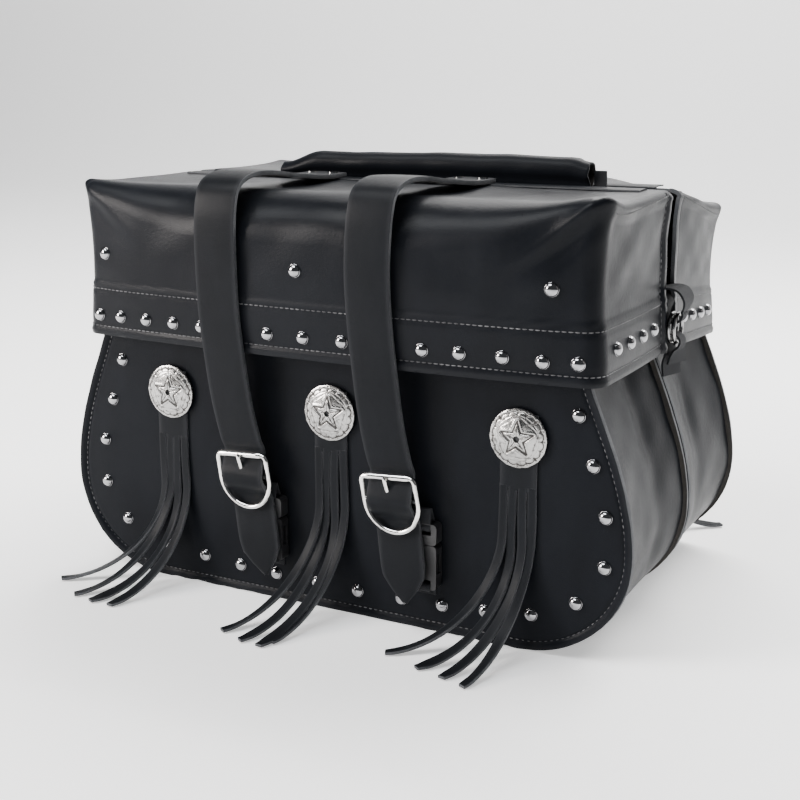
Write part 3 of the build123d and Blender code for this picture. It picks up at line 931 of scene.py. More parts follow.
@dataclass
class Panel:
    """A stiff panel with an edge that stands proud of its seam."""

    side: Side
    name: str
    node: str
    face_y: float
    faces_out: float
    top_z: float
    thickness: float = 4.0
    seam: float = 5.6
    flare: float = 1.5
    seed: float = 0.3
    furrow: float = 0.9
    pillow: float = 1.1
    wave: float = 0.45
    curl: float = 0.5
    columns: int = 41
    seam_points: int = 700

    def surface(self) -> tuple[Array, Array]:
        """Grid of points on the middle of the panel, and each one's distance from the edge."""
        rise = np.arange(34.0, self.top_z - 2.0, 6.5)
        z = np.concatenate([NEAR_EDGE, rise, [self.top_z]])
        half = OUTLINE.half_width(z)
        middle = np.linspace(0.0, 1.0, self.columns)
        inner = (half - NEAR_EDGE[-1])[:, None] * (2 * middle - 1)[None, :]
        left = -half[:, None] + NEAR_EDGE[None, :-1]
        right = half[:, None] - NEAR_EDGE[None, -2::-1]
        x = np.concatenate([left, inner, right], axis=1)
        zz = np.broadcast_to(z[:, None], x.shape)
        edge = OUTLINE.edge(self.top_z)
        loop = np.concatenate([edge[::-1] * [-1, 1], edge])
        away = distance_to(np.stack([x, zz], axis=-1), loop)
        p = np.stack([x, np.zeros_like(x), zz], axis=-1)
        lift = self.lift(p, away)
        p[..., 1] = self.face_y - self.faces_out * (lift - self.thickness / 2)
        return p, away

    def lift(self, p: Array, away: Array) -> Array:
        """How far the face stands out from its flat place."""
        rim = self.flare * (1 - smooth(0.0, self.seam + 1.5, away))
        furrow = -self.furrow * np.exp(-(((away - self.seam) / 1.3) ** 2))
        pillow = self.pillow * smooth(self.seam, self.seam + 26.0, away) - 0.4
        waves = self.wave * wobble(p, 150.0, self.seed) * smooth(10.0, 60.0, away)
        lip = self.curl * wobble(p, 46.0, self.seed + 2.0) * (1 - smooth(0.0, 9.0, away))
        return rim + furrow + pillow + waves + lip

    def build(self, wardrobe: Wardrobe) -> None:
        """Make the panel and its seam."""
        p, away = self.surface()
        if self.faces_out < 0:
            p = p[:, ::-1]
            away = away[:, ::-1]
        rub = (1 - smooth(0.0, 3.0, away)) * 0.9
        shell = Shell()
        shell.thick(p, self.thickness, rub)
        shell.piece(
            self.side.name(self.name), ROOT, wardrobe.coat(), "leather", [self.side.name(self.node)],
            self.side.turn, bevel=0.7,
        )

    def sew(self, wardrobe: Wardrobe) -> None:
        """Stitch the panel to the gusset."""
        edge = OUTLINE.edge(self.top_z - 3.0)
        right = []
        for i, (x, z) in enumerate(edge):
            a, b = edge[max(i - 1, 0)], edge[min(i + 1, len(edge) - 1)]
            along = unit(b - a)
            right.append((x - along[1] * self.seam, z + along[0] * self.seam))
        loop = np.concatenate([np.array(right)[::-1] * [-1, 1], right])
        flat = respace(loop, self.seam_points)
        away = np.full(len(flat), self.seam)
        p = np.stack([flat[:, 0], np.zeros(len(flat)), flat[:, 1]], axis=-1)
        p[:, 1] = self.face_y - self.faces_out * self.lift(p, away)
        normals = np.tile([0.0, -self.faces_out, 0.0], (len(p), 1))
        shell = Shell()
        shell.stitches(p, normals)
        shell.piece(
            self.side.name(self.name + "_stitching"), ROOT, [wardrobe.thread], "leather", turn=self.side.turn
        )


@dataclass
class Gusset:
    """The band round the bag between its panels, a little slack between its seams."""

    side: Side
    seed: float
    front_y: float = -126.0
    back_y: float = -6.0
    inset: float = 4.6
    thickness: float = 3.0
    top_z: float = 235.0
    slack: float = 3.4
    crease: float = 2.6
    ripple: float = 0.9
    around: int = 260
    across: int = 41

    def build(self, wardrobe: Wardrobe) -> None:
        """Make the band."""
        edge = OUTLINE.edge(self.top_z, self.inset)
        loop = np.concatenate([edge[::-1] * [-1, 1], edge])
        flat = respace(loop, self.around)
        flat[:, 1] += self.thickness / 2 * (1 - smooth(0.0, 12.0, flat[:, 1]))
        depth = np.linspace(self.front_y, self.back_y, self.across)
        p = np.zeros((len(depth), len(flat), 3))
        p[..., 0], p[..., 2] = flat[None, :, 0], flat[None, :, 1]
        p[..., 1] = depth[:, None]
        v = (depth - self.front_y) / (self.back_y - self.front_y)
        side_wall = smooth(20.0, 70.0, p[..., 2]) * (1 - 0.6 * smooth(165.0, 225.0, p[..., 2]))
        slack = -self.slack * np.sin(math.pi * v)[:, None] * side_wall
        crease = -self.crease * np.exp(-(((v - 0.62) / 0.11) ** 2))[:, None] * side_wall
        crease = crease * (0.75 + 0.25 * np.sin(p[..., 2] / 23.0 + self.seed))
        ripple = self.ripple * wobble(p, 88.0, self.seed) * side_wall
        outward = grid_normals(p)
        if outward[self.across // 2, self.around - 10, 0] < 0:
            p = p[::-1]
            outward = -outward[::-1]
            slack, crease, ripple = slack[::-1], crease[::-1], ripple[::-1]
        p = p + outward * (slack + crease + ripple)[..., None]
        shell = Shell()
        shell.thick(p, self.thickness)
        shell.piece(
            self.side.name("gusset_hide"), ROOT, wardrobe.coat(), "leather", [self.side.name("gusset")],
            self.side.turn,
        )


@dataclass
class LidHide:
    """The lid: a soft box open below, with pinched front corners, a sewn skirt band and end seams."""

    side: Side
    seed: float
    half: float = 204.0
    bottom: float = 188.0
    top: float = 300.0
    back_y: float = -10.0
    corner_y: float = -140.0
    bow: float = 8.0
    corner: float = 13.0
    band_z: float = 226.0
    hem_z: float = 194.5
    end_seam_z: float = 287.0
    thickness: float = 2.8
    left_ear: float = 3.0
    right_ear: float = 8.0
    droop_left: float = 0.0
    wall_z: float = 286.0
    row_pitch: float = 2.6
    wall_rows: int = 47
    around: int = 250
    seam_drop: float = 3.5
    flap_drop: float = 3.4
    crown: float = 3.2
    flare: float = 2.4
    tuck: float = 1.6
    waist: float = 2.8
    fold: float = 2.6
    furrow: float = 2.2
    sag: float = 1.6
    flat: Array = field(init=False)
    outer: Array = field(init=False)
    normals: Array = field(init=False)

    @property
    def body(self) -> str:
        """The CAD body that the lid rides on."""
        return self.side.name("lid_body")

    def front_y(self, x: Any) -> Any:
        """Depth of the flat front face at x."""
        return self.corner_y - self.bow * (1 - (np.asarray(x) / self.half) ** 2)

    def plan(self) -> tuple[Array, Array]:
        """Points round the plan from the back left to the back right, and their outward directions."""
        r = self.corner
        arc = np.linspace(0, math.pi / 2, 12)
        left = np.stack([np.full(30, -self.half), np.linspace(self.back_y, self.corner_y + r, 30)], axis=1)
        turn_l = np.stack([-self.half + r - r * np.cos(arc), self.corner_y + r - r * np.sin(arc)], axis=1)
        x = np.linspace(-self.half + r, self.half - r, 120)
        edge_y = self.front_y(self.half - r)
        front = np.stack([x, self.front_y(x) - edge_y + self.corner_y], axis=1)
        line = np.concatenate([left, turn_l[1:], front[1:]])
        mirrored = turn_l[::-1] * [-1, 1]
        line = np.concatenate([line, mirrored[1:], (left[::-1] * [-1, 1])[1:]])
        line = respace(line, self.around)
        along = unit(np.gradient(line, axis=0))
        return line, np.stack([along[:, 1], -along[:, 0]], axis=1)

    def end_seam(self, y: Any) -> Any:
        """Height of the sloping seam on the lid's ends."""
        return self.end_seam_z + 0.05 * (y - self.corner_y)

    def skin(self) -> Array:
        """Grid of the outer skin: rows from the hem up, over the top edge and in to the back."""
        line, out = self.plan()
        out = -out if out[len(out) // 2, 1] > 0 else out
        x, y = line[:, 0], line[:, 1]
        frontness = smooth(0.15, 0.85, -out[:, 1])
        into = 1 - smooth(95.0, 200.0, np.abs(x))
        radius = 5.0 + frontness * (7.0 + 20.0 * into)
        rows = []
        for z in np.arange(self.bottom, self.wall_z, self.row_pitch):
            t = (z - self.bottom) / (self.wall_z - self.bottom)
            rows.append(np.stack([x, y, self.bottom + t * (self.top - radius - self.bottom)], axis=1))
        for angle in np.linspace(0, math.pi / 2, 9):
            inward = radius * (1 - math.cos(angle))
            height = self.top - radius + radius * math.sin(angle)
            rows.append(np.stack([x - out[:, 0] * inward, y - out[:, 1] * inward, height], axis=1))
        rim = rows[-1].copy()
        at_end = np.sign(x) * (self.half - 6 - (self.back_y - y) * 0.55)
        gathered = np.where(np.abs(x) > self.half - 1, at_end, x * 0.62)
        even = np.linspace(rim[0, 0], rim[-1, 0], len(rim))
        back_x = np.sort(even * 0.5 + gathered * 0.5)
        back_x[0], back_x[-1] = rim[0, 0], rim[-1, 0]
        spine = np.stack([back_x, np.full(len(x), self.back_y)], axis=1)
        for t in np.linspace(0, 1, 40)[1:]:
            flat = rim[:, :2] * (1 - t) + spine * t
            rows.append(np.concatenate([flat, np.full((len(x), 1), self.top)], axis=1))
        return np.array(rows)

    def form(self, p: Array) -> Array:
        """Soften the flat box: crown, flared ends, ears, folds, sag and droop."""
        q = p.copy()
        x, y, z = p[..., 0], p[..., 1], p[..., 2]
        high = smooth(self.bottom, self.top, z)
        face = 1 - smooth(-136.0, -118.0, y)
        middle = 1 - smooth(150.0, 204.0, np.abs(x))
        # the front crowns outwards and leans a little forward at its top
        crown = self.crown * np.sin(math.pi * np.clip((z - self.bottom) / 118.0, 0, 1)) * middle
        q[..., 1] -= face * (crown + 0.6 * high * middle)
        # the ends draw in at mid-height and flare to the ears
        side = smooth(0.80 * self.half, self.half, np.abs(x))
        low_front = np.exp(-(((y + 140.0) / 46.0) ** 2))
        flare = (self.flare * smooth(262.0, 306.0, z) ** 1.4 - self.tuck) * low_front
        pull = np.sin(math.pi * np.clip((z - 200.0) / 96.0, 0, 1))
        waist = -self.waist * pull * (0.5 + 0.5 * low_front)
        q[..., 0] += np.sign(x) * side * (flare + waist)
        # pinched corners stand up and forward
        off_end, off_front = (np.abs(x) - self.half) / 30.0, (y + 141.0) / 22.0
        ear = np.exp(-(off_end**2)) * np.exp(-(off_front**2))
        lift = np.where(x < 0, self.left_ear, self.right_ear)
        q[..., 2] += lift * ear * smooth(262.0, 299.0, z)
        q[..., 1] -= 0.3 * lift * ear * smooth(262.0, 300.0, z)
        # a fold runs in and down from each ear across the front
        fold_z = 300.0 - 0.62 * (self.half - np.abs(x))
        off = (z - fold_z) / 5.0
        reach = (1 - smooth(8.0, 74.0, self.half - np.abs(x))) * face * (lift / 8.0)
        q[..., 1] -= self.fold * np.exp(-(off**2)) * reach
        q[..., 1] += self.furrow * np.exp(-(((z - fold_z + 11.0) / 7.0) ** 2)) * reach
        # the top sags between its edges, and dips behind the front edge
        top = smooth(292.0, 300.0, z)
        inside = smooth(0.0, 50.0, y - self.corner_y) * (1 - smooth(120.0, 200.0, np.abs(x)) * 0.6)
        depth = np.clip((y - self.corner_y) / 130.0, 0, 1)
        q[..., 2] -= top * self.sag * np.sin(math.pi * depth) * inside
        q[..., 2] += top * 0.9 * wobble(p, 120.0, self.seed) * inside
        above_band = smooth(228.0, 245.0, z)
        q[..., 1] += 0.9 * wobble(p, 95.0, self.seed + 1.0) * face * above_band * (z < 299)
        end = smooth(0.96 * self.half, self.half, np.abs(x)) * smooth(-132.0, -120.0, y)
        q[..., 0] += np.sign(x) * 0.9 * wobble(p, 70.0, self.seed + 3.0) * end * above_band
        # the far end of a lid that isn't held hangs lower
        sag = self.droop_left * smooth(96.0, self.half, -x) * np.clip((self.back_y - y) / 130.0, 0, 1)
        q[..., 2] -= sag * (0.45 + 0.55 * smooth(self.bottom, self.top, z))
        return q

    def reliefs(self, p: Array) -> tuple[Array, Array]:
        """Height of the bands and seams above the skin, and wear along them."""
        x, y, z = p[..., 0], p[..., 1], p[..., 2]
        wall = 1 - smooth(292.0, 299.0, z)
        band = 1.1 * (1 - smooth(self.band_z - 0.9, self.band_z + 0.9, z))
        seam = -0.7 * np.exp(-(((z - (self.band_z - self.seam_drop)) / 1.5) ** 2))
        hem_roll = 1.2 * np.exp(-(((z - 190.5) / 3.2) ** 2))
        hem_seam = -0.8 * np.exp(-(((z - self.hem_z) / 1.2) ** 2))
        end = smooth(0.965 * self.half, 0.99 * self.half, np.abs(x)) * smooth(-136.0, -126.0, y)
        slant = self.end_seam(y)
        flap = 1.5 * smooth(slant - 0.8, slant + 0.8, z) * end * (1 - smooth(296.0, 300.5, z))
        flap_seam = -0.6 * np.exp(-(((z - slant - self.flap_drop) / 1.3) ** 2)) * end
        rear = y - self.back_y
        bound = 1.6 * smooth(-7.5, -6.5, rear) - 0.8 * np.exp(-(((rear + 8.6) / 1.2) ** 2))
        flap = flap + bound * wall
        rub = np.exp(-(((z - self.band_z) / 1.4) ** 2)) * 0.7 + np.exp(-(((z - 189.0) / 2.0) ** 2)) * 0.7
        rub = rub + 0.6 * np.exp(-(((z - slant) / 1.2) ** 2)) * end
        return wall * (band + seam + hem_roll + hem_seam) + flap + flap_seam, np.clip(rub, 0, 1)

    def build(self, wardrobe: Wardrobe) -> None:
        """Make the lid and its seams."""
        p = self.skin()
        soft = self.form(p)
        normals = grid_normals(soft)
        if normals[10, self.around // 2, 1] > 0:
            p, soft, normals = p[:, ::-1], soft[:, ::-1], -normals[:, ::-1]
        height, rub = self.reliefs(p)
        self.flat, self.normals, self.outer = p, normals, soft + normals * height[..., None]
        shell = Shell()
        shell.thick(self.outer - normals * (self.thickness / 2), self.thickness, rub)
        shell.piece(
            self.side.name("lid_hide"), self.body, wardrobe.lid_coat(), "leather", [self.side.name("lid")],
            self.side.turn, bevel=0.6,
        )
        self.sew(wardrobe)

    def sew(self, wardrobe: Wardrobe) -> None:
        """Stitch along the band, the hem and the ends' seams."""
        shell = Shell()
        for z in (self.band_z - self.seam_drop, self.hem_z):
            shell.stitches(*self.trace((c, z) for c in range(2, self.around - 2)))
        x, y = self.flat[0, :, 0], self.flat[0, :, 1]
        for sign in (-1.0, 1.0):
            end = x * sign > self.half - 1
            columns = np.nonzero(end & (y > -124.0))[0]
            shell.stitches(*self.trace((c, self.end_seam(y[c]) + self.flap_drop) for c in columns))
            edge = np.nonzero(end & (y > self.back_y - 9.0))[0]
            column = edge[0] if sign > 0 else edge[-1]
            shell.stitches(self.outer[3:48, column], self.normals[3:48, column])
        shell.piece(
            self.side.name("lid_stitching"), self.body, [wardrobe.thread], "leather", turn=self.side.turn
        )

    def trace(self, places: Iterable[tuple[int, float]]) -> tuple[Array, Array]:
        """A line over the lid's wall.

        Args:
            places: Columns of the skin's grid, and the height on each.

        Returns:
            The points and the skin's normals there.
        """
        points: list[list[float]] = []
        ups: list[list[float]] = []
        for column, z in places:
            heights = self.flat[: self.wall_rows, column, 2]
            for found, grid in ((points, self.outer), (ups, self.normals)):
                found.append([np.interp(z, heights, grid[: self.wall_rows, column, k]) for k in range(3)])
        return np.array(points), np.array(ups)

    def spot(self, x: float, y: float, z: float) -> tuple[Array, Array]:
        """Place and normal on the skin nearest to a point of the flat box."""
        gap = np.linalg.norm(self.flat - np.array([x, y, z]), axis=-1)
        near = np.argsort(gap, axis=None)[:4]
        weight = 1.0 / (gap.ravel()[near] + 0.05)
        weight = (weight / weight.sum())[:, None]
        place = (self.outer.reshape(-1, 3)[near] * weight).sum(0)
        return place, unit((self.normals.reshape(-1, 3)[near] * weight).sum(0))


def stud_profile(radius: float, height: float) -> Array:
    """Radius and height of a domed spot stud, from its rim to its middle."""
    angle = np.linspace(0.0, 0.92, 9) * math.pi / 2
    dome = np.stack([(radius - 0.25) * np.cos(angle), 0.45 + (height - 0.45) * np.sin(angle)], axis=1)
    return np.concatenate([[[radius, -0.3], [radius, 0.25], [radius - 0.12, 0.42]], dome])


@dataclass
class Studs:
    """Domed spot studs on the lid and round the front panel."""

    side: Side
    radius: float = 4.75
    height: float = 3.3
    row_x: Sequence[float] = (-189, -167, -142, -117, -92, -35, -6.5, 24.5, 84, 110, 139, 166, 191)
    row_z: float = 203.0
    end_z: float = 208.0
    end_pitch: float = 24.5
    singles_x: Sequence[float] = (-181.0, -11.0, 172.0)
    single_z: float = 249.0
    panel_shift: float = 8.0
    end_start: float = 30.0
    end_count: int = 4
    facets: int = 28
    column: Sequence[tuple[float, float]] = (
        (182.6, 167.0), (193.4, 135.0), (202.9, 102.0), (203.3, 68.0), (184.8, 40.0)
    )
    row: Sequence[tuple[float, float]] = (
        (149.6, 26.0), (116.1, 22.0), (83.6, 20.0), (52.0, 19.0), (16.7, 18.0)
    )

    def on_lid(self, lid: LidHide, wardrobe: Wardrobe) -> None:
        """Set the lid's studs."""
        places = [(x, float(lid.front_y(x)), self.row_z) for x in self.row_x]
        for sign in (-1.0, 1.0):
            for step in range(self.end_count):
                y = lid.corner_y + self.end_start + step * self.end_pitch
                places.append((sign * lid.half, y, self.end_z))
        for x in self.singles_x:
            places.append((x, float(lid.front_y(x)), self.single_z))
        shell = Shell()
        for place in places:
            where, up = lid.spot(*place)
            shell.turned(stud_profile(self.radius, self.height), where, up, self.facets)
        name, node = self.side.name("lid_spots"), self.side.name("lid_studs")
        shell.piece(name, lid.body, [wardrobe.spot_chrome], "chrome", [node], self.side.turn)

    def on_panel(self, panel: Panel, wardrobe: Wardrobe) -> None:
        """Set the studs round the front panel."""
        places = [(x, z, self.panel_shift / 2) for x, z in self.column]
        places += [(x, z, self.panel_shift) for x, z in self.row]
        shell = Shell()
        for sign in (-1.0, 1.0):
            for x, z, shift in places:
                at = np.array([sign * x + shift, panel.face_y, z])
                at[1] = panel.face_y - float(panel.lift(at, np.array(24.0)))
                outward = np.array([0.0, -1.0, 0.0])
                shell.turned(stud_profile(self.radius, self.height), at, outward, self.facets)
        name, node = self.side.name("panel_spots"), self.side.name("panel_studs")
        shell.piece(name, ROOT, [wardrobe.spot_chrome], "chrome", [node], self.side.turn)


STRAP_LEAN = {
    Hand.LEFT: [
        (24, 20), (43, 15.3), (55, 13), (97, 4.3), (113, 2.6), (138, -2.3), (175, -6.5), (210, -10),
        (300, -10),
    ],
    Hand.RIGHT: [
        (24, 9), (45, 8.4), (97, -1.0), (113, -1.2), (138, -6), (175, -10), (210, -13.5), (250, -15),
        (300, -13),
    ],
}


@dataclass
class Strap:
    """A long strap from the lid's back, over its top and down the front through its buckle."""

    side: Side
    hand: Hand
    centre_x: float = STRAP_X
    thickness: float = 3.2
    half: float = 16.4
    tip_z: float = 24.0
    point: float = 26.0
    back_y: float = -17.0
    turn_z: float = 299.0
    crown: float = 0.4
    rows: int = 190
    hole: float = 1.9
    holes_z: Sequence[float] = (129.0, 157.0)
    slot: tuple[float, float, float] = (94.0, 110.5, 2.3)

    def lean(self, z: Any) -> Any:
        """How far the strap hangs from its own line in X, at a height."""
        heights, offsets = zip(*STRAP_LEAN[self.hand])
        return np.interp(z, heights, offsets)

    def line(self) -> Array:
        """Centre line in X, Y and Z."""
        front = LidHide.corner_y - LidHide.bow * (1 - (self.centre_x / LidHide.half) ** 2)
        buckle = BUCKLE_Y
        points = [
            (self.back_y, 302.8), (-44, 302.8), (-78, 306.0), (-108, 309.8), (-130, 309.6),
            (front + 1.0, 303.5), (front - 5.4, 290), (front - 7.4, 270), (front - 7.2, 240),
            (front - 5.0, 200),
            (buckle - 2.2, 160), (buckle + 2.0, 126), (buckle + 4.3, 114), (buckle - 3.9, 97),
            (buckle + 4.2, 83), (buckle + 4.6, 73), (buckle + 2.6, 56), (buckle + 2.2, 40),
            (buckle + 3.0, self.tip_z),
        ]
        flat = through(points, self.rows)
        over = np.clip((self.back_y - flat[:, 0]) / 115.0, 0, 1)
        top_z = flat[:, 1].max()
        offset = np.where(flat[:, 1] > self.turn_z, over * self.lean(top_z), self.lean(flat[:, 1]))
        kernel = np.hanning(21)[1:-1]
        padded = np.pad(offset, len(kernel) // 2, mode="edge")
        offset = np.convolve(padded, kernel / kernel.sum(), mode="valid")
        return np.column_stack([self.hand.sign * self.centre_x + offset, flat])

    def half_width(self, z: Array, along: Array) -> Array:
        """Half-width along the strap, down to its pointed tip."""
        rise = (z - self.tip_z) / self.point
        point = np.interp(rise, [0.0, 0.1, 0.35, 0.72, 1.0], [0.05, 0.22, 0.58, 0.95, 1.0])
        return self.half * np.where(along < 0.5, 1.0, point)

    def build(self, wardrobe: Wardrobe) -> None:
        """Make the strap, with its buckle slot and punched holes."""
        line = self.line()
        half = self.half_width(line[:, 2], np.linspace(0, 1, len(line)))
        spread = np.array([-1, -0.93, -0.8, -0.5, -0.17, 0.17, 0.5, 0.8, 0.93, 1.0])
        tangent = unit(np.gradient(line, axis=0))
        face = unit(np.column_stack([np.zeros(len(line)), -tangent[:, 2], tangent[:, 1]]))
        face = np.where((face[:, 1:2] - face[:, 2:3]) > 0, -face, face)
        across = unit(np.cross(face, tangent))
        across = np.where(across[:, :1] < 0, -across, across)
        p = line[:, None, :] + across[:, None, :] * (spread[None, :, None] * half[:, None, None])
        normals = grid_normals(p)
        if normals[80, 5, 1] > 0:
            p = p[:, ::-1]
            normals = -normals[:, ::-1]
        p = p + normals * (self.crown * (1 - np.abs(spread) ** 3)[None, :, None])
        rub = np.broadcast_to(smooth(0.84, 1.0, np.abs(spread))[None, :], p.shape[:2])
        shell = Shell()
        shell.thick(p, self.thickness, rub)
        name = self.side.name(f"strap_{self.hand.value}")
        x0 = self.hand.sign * self.centre_x
        cuts = [(float(self.lean(z)), z - self.hole, z + self.hole, self.hole) for z in self.holes_z]
        cuts.append((float(self.lean(Buckle.bar_z)), *self.slot))
        cutter = rod_cutter("strap_cutter", cuts, x0, self.side.turn)
        body = self.side.name("lid_body")
        shell.piece(
            name + "_hide", body, wardrobe.strap_coat(), "leather", [name], self.side.turn, 0.5, cutter=cutter
        )
        drop(cutter)


BUCKLE_HANG = {Hand.LEFT: (4.3, 9.0), Hand.RIGHT: (-1.0, 10.5)}


@dataclass
class Buckle:
    """A plated wire buckle: a roller bar, a D-shaped frame and a prong on its centre bar."""

    side: Side
    hand: Hand
    plane_y: float = BUCKLE_Y
    bar_z: float = 97.0
    top_z: float = 113.0
    half: float = 20.5
    wire: float = 1.9
    roller: float = 2.5
    prong_wire: float = 1.5
    bar_wire: float = 1.55
    wrap: float = 3.0
    corner: float = 3.0
    bow_z: float = 95.0

    def hang(self, flat: Array) -> Array:
        """Turn and shift points of a square buckle to where it hangs."""
        shift, degrees = BUCKLE_HANG[self.hand]
        c, s = math.cos(math.radians(degrees)), math.sin(math.radians(degrees))
        z = flat[:, 2] - self.bar_z
        x = self.hand.sign * STRAP_X + shift + flat[:, 0] * c - z * s
        return np.column_stack([x, flat[:, 1], self.bar_z + flat[:, 0] * s * 0.35 + z * c])

    def frame_line(self) -> Array:
        """Closed middle line of the wire frame."""
        turn = np.linspace(0, -math.pi, 72)
        h, top, corner = self.half, self.top_z, self.corner
        low = [(h * math.cos(a), 0.0, self.bow_z + h * 1.02 * math.sin(a)) for a in turn]
        left = [(-h, 0, 104), (-h, 0, top - corner), (-h + 0.9, 0, top - 0.9), (-h + corner, 0, top)]
        right = [(-x, y, z) for x, y, z in reversed(left)]
        line = np.array(low + left + [(0.0, 0, top)] + right, float)
        line[:, 1] = self.plane_y
        return respace(np.vstack([line, line[:1]]), 170)[:-1]

    def build(self, wardrobe: Wardrobe) -> None:
        """Make the frame with its bars, and the prong."""
        name = self.side.name(f"buckle_{self.hand.value}")
        shell = Shell()
        shell.tube(self.hang(self.frame_line()), self.wire, 16, closed=True)
        y = self.plane_y
        bar = np.array([(x, y, self.bar_z) for x in np.linspace(-self.half, self.half, 12)])
        shell.tube(self.hang(bar), self.bar_wire)
        roll = np.array([(x, y, self.top_z) for x in np.linspace(-self.half + 3.4, self.half - 3.4, 16)])
        ends = np.interp(np.abs(roll[:, 0]), [0, self.half - 4.4, self.half - 3.4], [1.0, 1.0, 0.9])
        shell.tube(self.hang(roll), self.roller * ends, 20)
        body = self.side.name("lid_body")
        shell.piece(name + "_wire", body, [wardrobe.chrome], "chrome", [name], self.side.turn)
        name = self.side.name(f"prong_{self.hand.value}")
        shell = Shell()
        w, around = self.wrap, np.linspace(2.4, -2.6, 12)
        wrap = [(0.0, y + w * math.sin(a), self.bar_z - w * math.cos(a)) for a in around]
        shank = through([wrap[-1], (0, y - 2.6, 104.0), (0, y - 3.9, 110.0), (0, y - 4.6, 114.6)], 18)
        path = np.vstack([np.array(wrap), shank[1:]])
        taper = np.concatenate([np.full(len(path) - 5, 1.0), [0.99, 0.96, 0.88, 0.72, 0.45]])
        shell.tube(self.hang(path), self.prong_wire * taper)
        body = self.side.name(f"prong_{self.hand.value}_body")
        shell.piece(name + "_pin", body, [wardrobe.chrome], "chrome", [name], self.side.turn)


@dataclass
class Fringe:
    """A leather tab slit into four strips that curl out to the ground."""

    side: Side
    name: str
    centre_x: float
    headings: Sequence[float]
    reach: Sequence[float]
    seed: float
    slit_z: float = 112.0
    half: float = 13.2
    top_z: float = 164.0
    bend_z: float = 76.0
    thickness: float = 2.2
    face_y: float = -131.6
    strips: int = 4
    curl_run: float = 105.0

    def build(self, wardrobe: Wardrobe) -> None:
        """Make the tab with its strips."""
        shell = Shell()
        pitch = 2 * self.half / self.strips
        z = np.linspace(self.top_z, self.slit_z, 16)
        across = np.linspace(-1, 1, 13)
        x = self.centre_x + across * (self.half - 0.3)
        tab = ribbon(x, np.stack([np.full(len(z), self.face_y), z], axis=1))
        tab[..., 1] -= 0.35 * (1 - across**2)[None, :]
        self.lay(shell, tab)
        for i in range(self.strips):
            self.strip(shell, self.centre_x + (i + 0.5) * pitch - self.half, pitch * 0.5 - 0.25, i)
        shell.piece(
            self.side.name(self.name + "_hide"), ROOT, wardrobe.strap_coat(), "leather",
            [self.side.name(self.name)], self.side.turn, bevel=0.35,
        )

    def strip(self, shell: Shell, x: float, half: float, i: int) -> None:
        """Add one strip: down from the slit, then out along its heading to the ground.

        Args:
            shell: The fringe's mesh.
            x: Middle of the strip at the slit.
            half: Half of its width.
            i: Its number from the left.
        """
        t = np.linspace(0, 1, 56)
        angle = math.radians(self.headings[i])
        low = self.thickness / 2 + 0.6
        start = self.slit_z + 3
        bend_z = self.bend_z + 5.0 * math.sin(2.1 * i + self.seed)
        fall = (start - bend_z) / (start - bend_z + self.curl_run)
        u = np.clip((t - fall) / (1 - fall), 0, 1)
        out = self.reach[i] * (1 - np.cos(u * math.pi / 2)) ** 0.92
        fallen = start - (start - bend_z) * np.clip(t / fall, 0, 1)
        z = np.where(t < fall, fallen, low + (bend_z - low) * (1 - np.sin(u * math.pi / 2)))
        bulge = 1.4 * (0.6 + 0.4 * math.sin(3.0 * i + self.seed))
        away = bulge * np.sin(math.pi * np.clip(t / 0.7, 0, 1))
        sway = 1.6 * np.sin(4.2 * t + self.seed + 1.9 * i) * np.sin(math.pi * t)
        middle = np.stack([
            x - math.sin(angle) * out + math.cos(angle) * sway,
            self.face_y - 0.3 - away - math.cos(angle) * out,
            z,
        ], axis=1)
        twist = 0.25 * np.sin(5.0 * t + 2.0 * i + self.seed) * smooth(0.2, 0.6, t)
        turn = angle * smooth(0.1, 0.8, t) + twist
        curl = 0.30 * math.sin(1.7 * i + 0.6 + self.seed)
        roll = curl * smooth(0.35, 0.9, t) * (1 - smooth(0.9, 1.0, t))
        across = unit(np.stack([np.cos(turn), -np.sin(turn), roll], axis=1))
        spread = np.linspace(-1, 1, 5)
        width = half * (1 + 0.22 * smooth(0.3, 0.7, t)) * (1 - 0.25 * smooth(0.94, 1.0, t))
        p = middle[:, None, :] + across[:, None, :] * (spread[None, :, None] * width[:, None, None])
        self.lay(shell, p)

    def lay(self, shell: Shell, p: Array) -> None:
        """Add a flat length of hide that faces away from the bag."""
        if grid_normals(p)[2, 2, 1] > 0:
            p = p[:, ::-1]
        edge = np.abs(np.linspace(-1, 1, p.shape[1]))
        rub = np.broadcast_to(smooth(0.6, 1.0, edge)[None, :] * 0.8, p.shape[:2])
        shell.thick(p, self.thickness, rub)


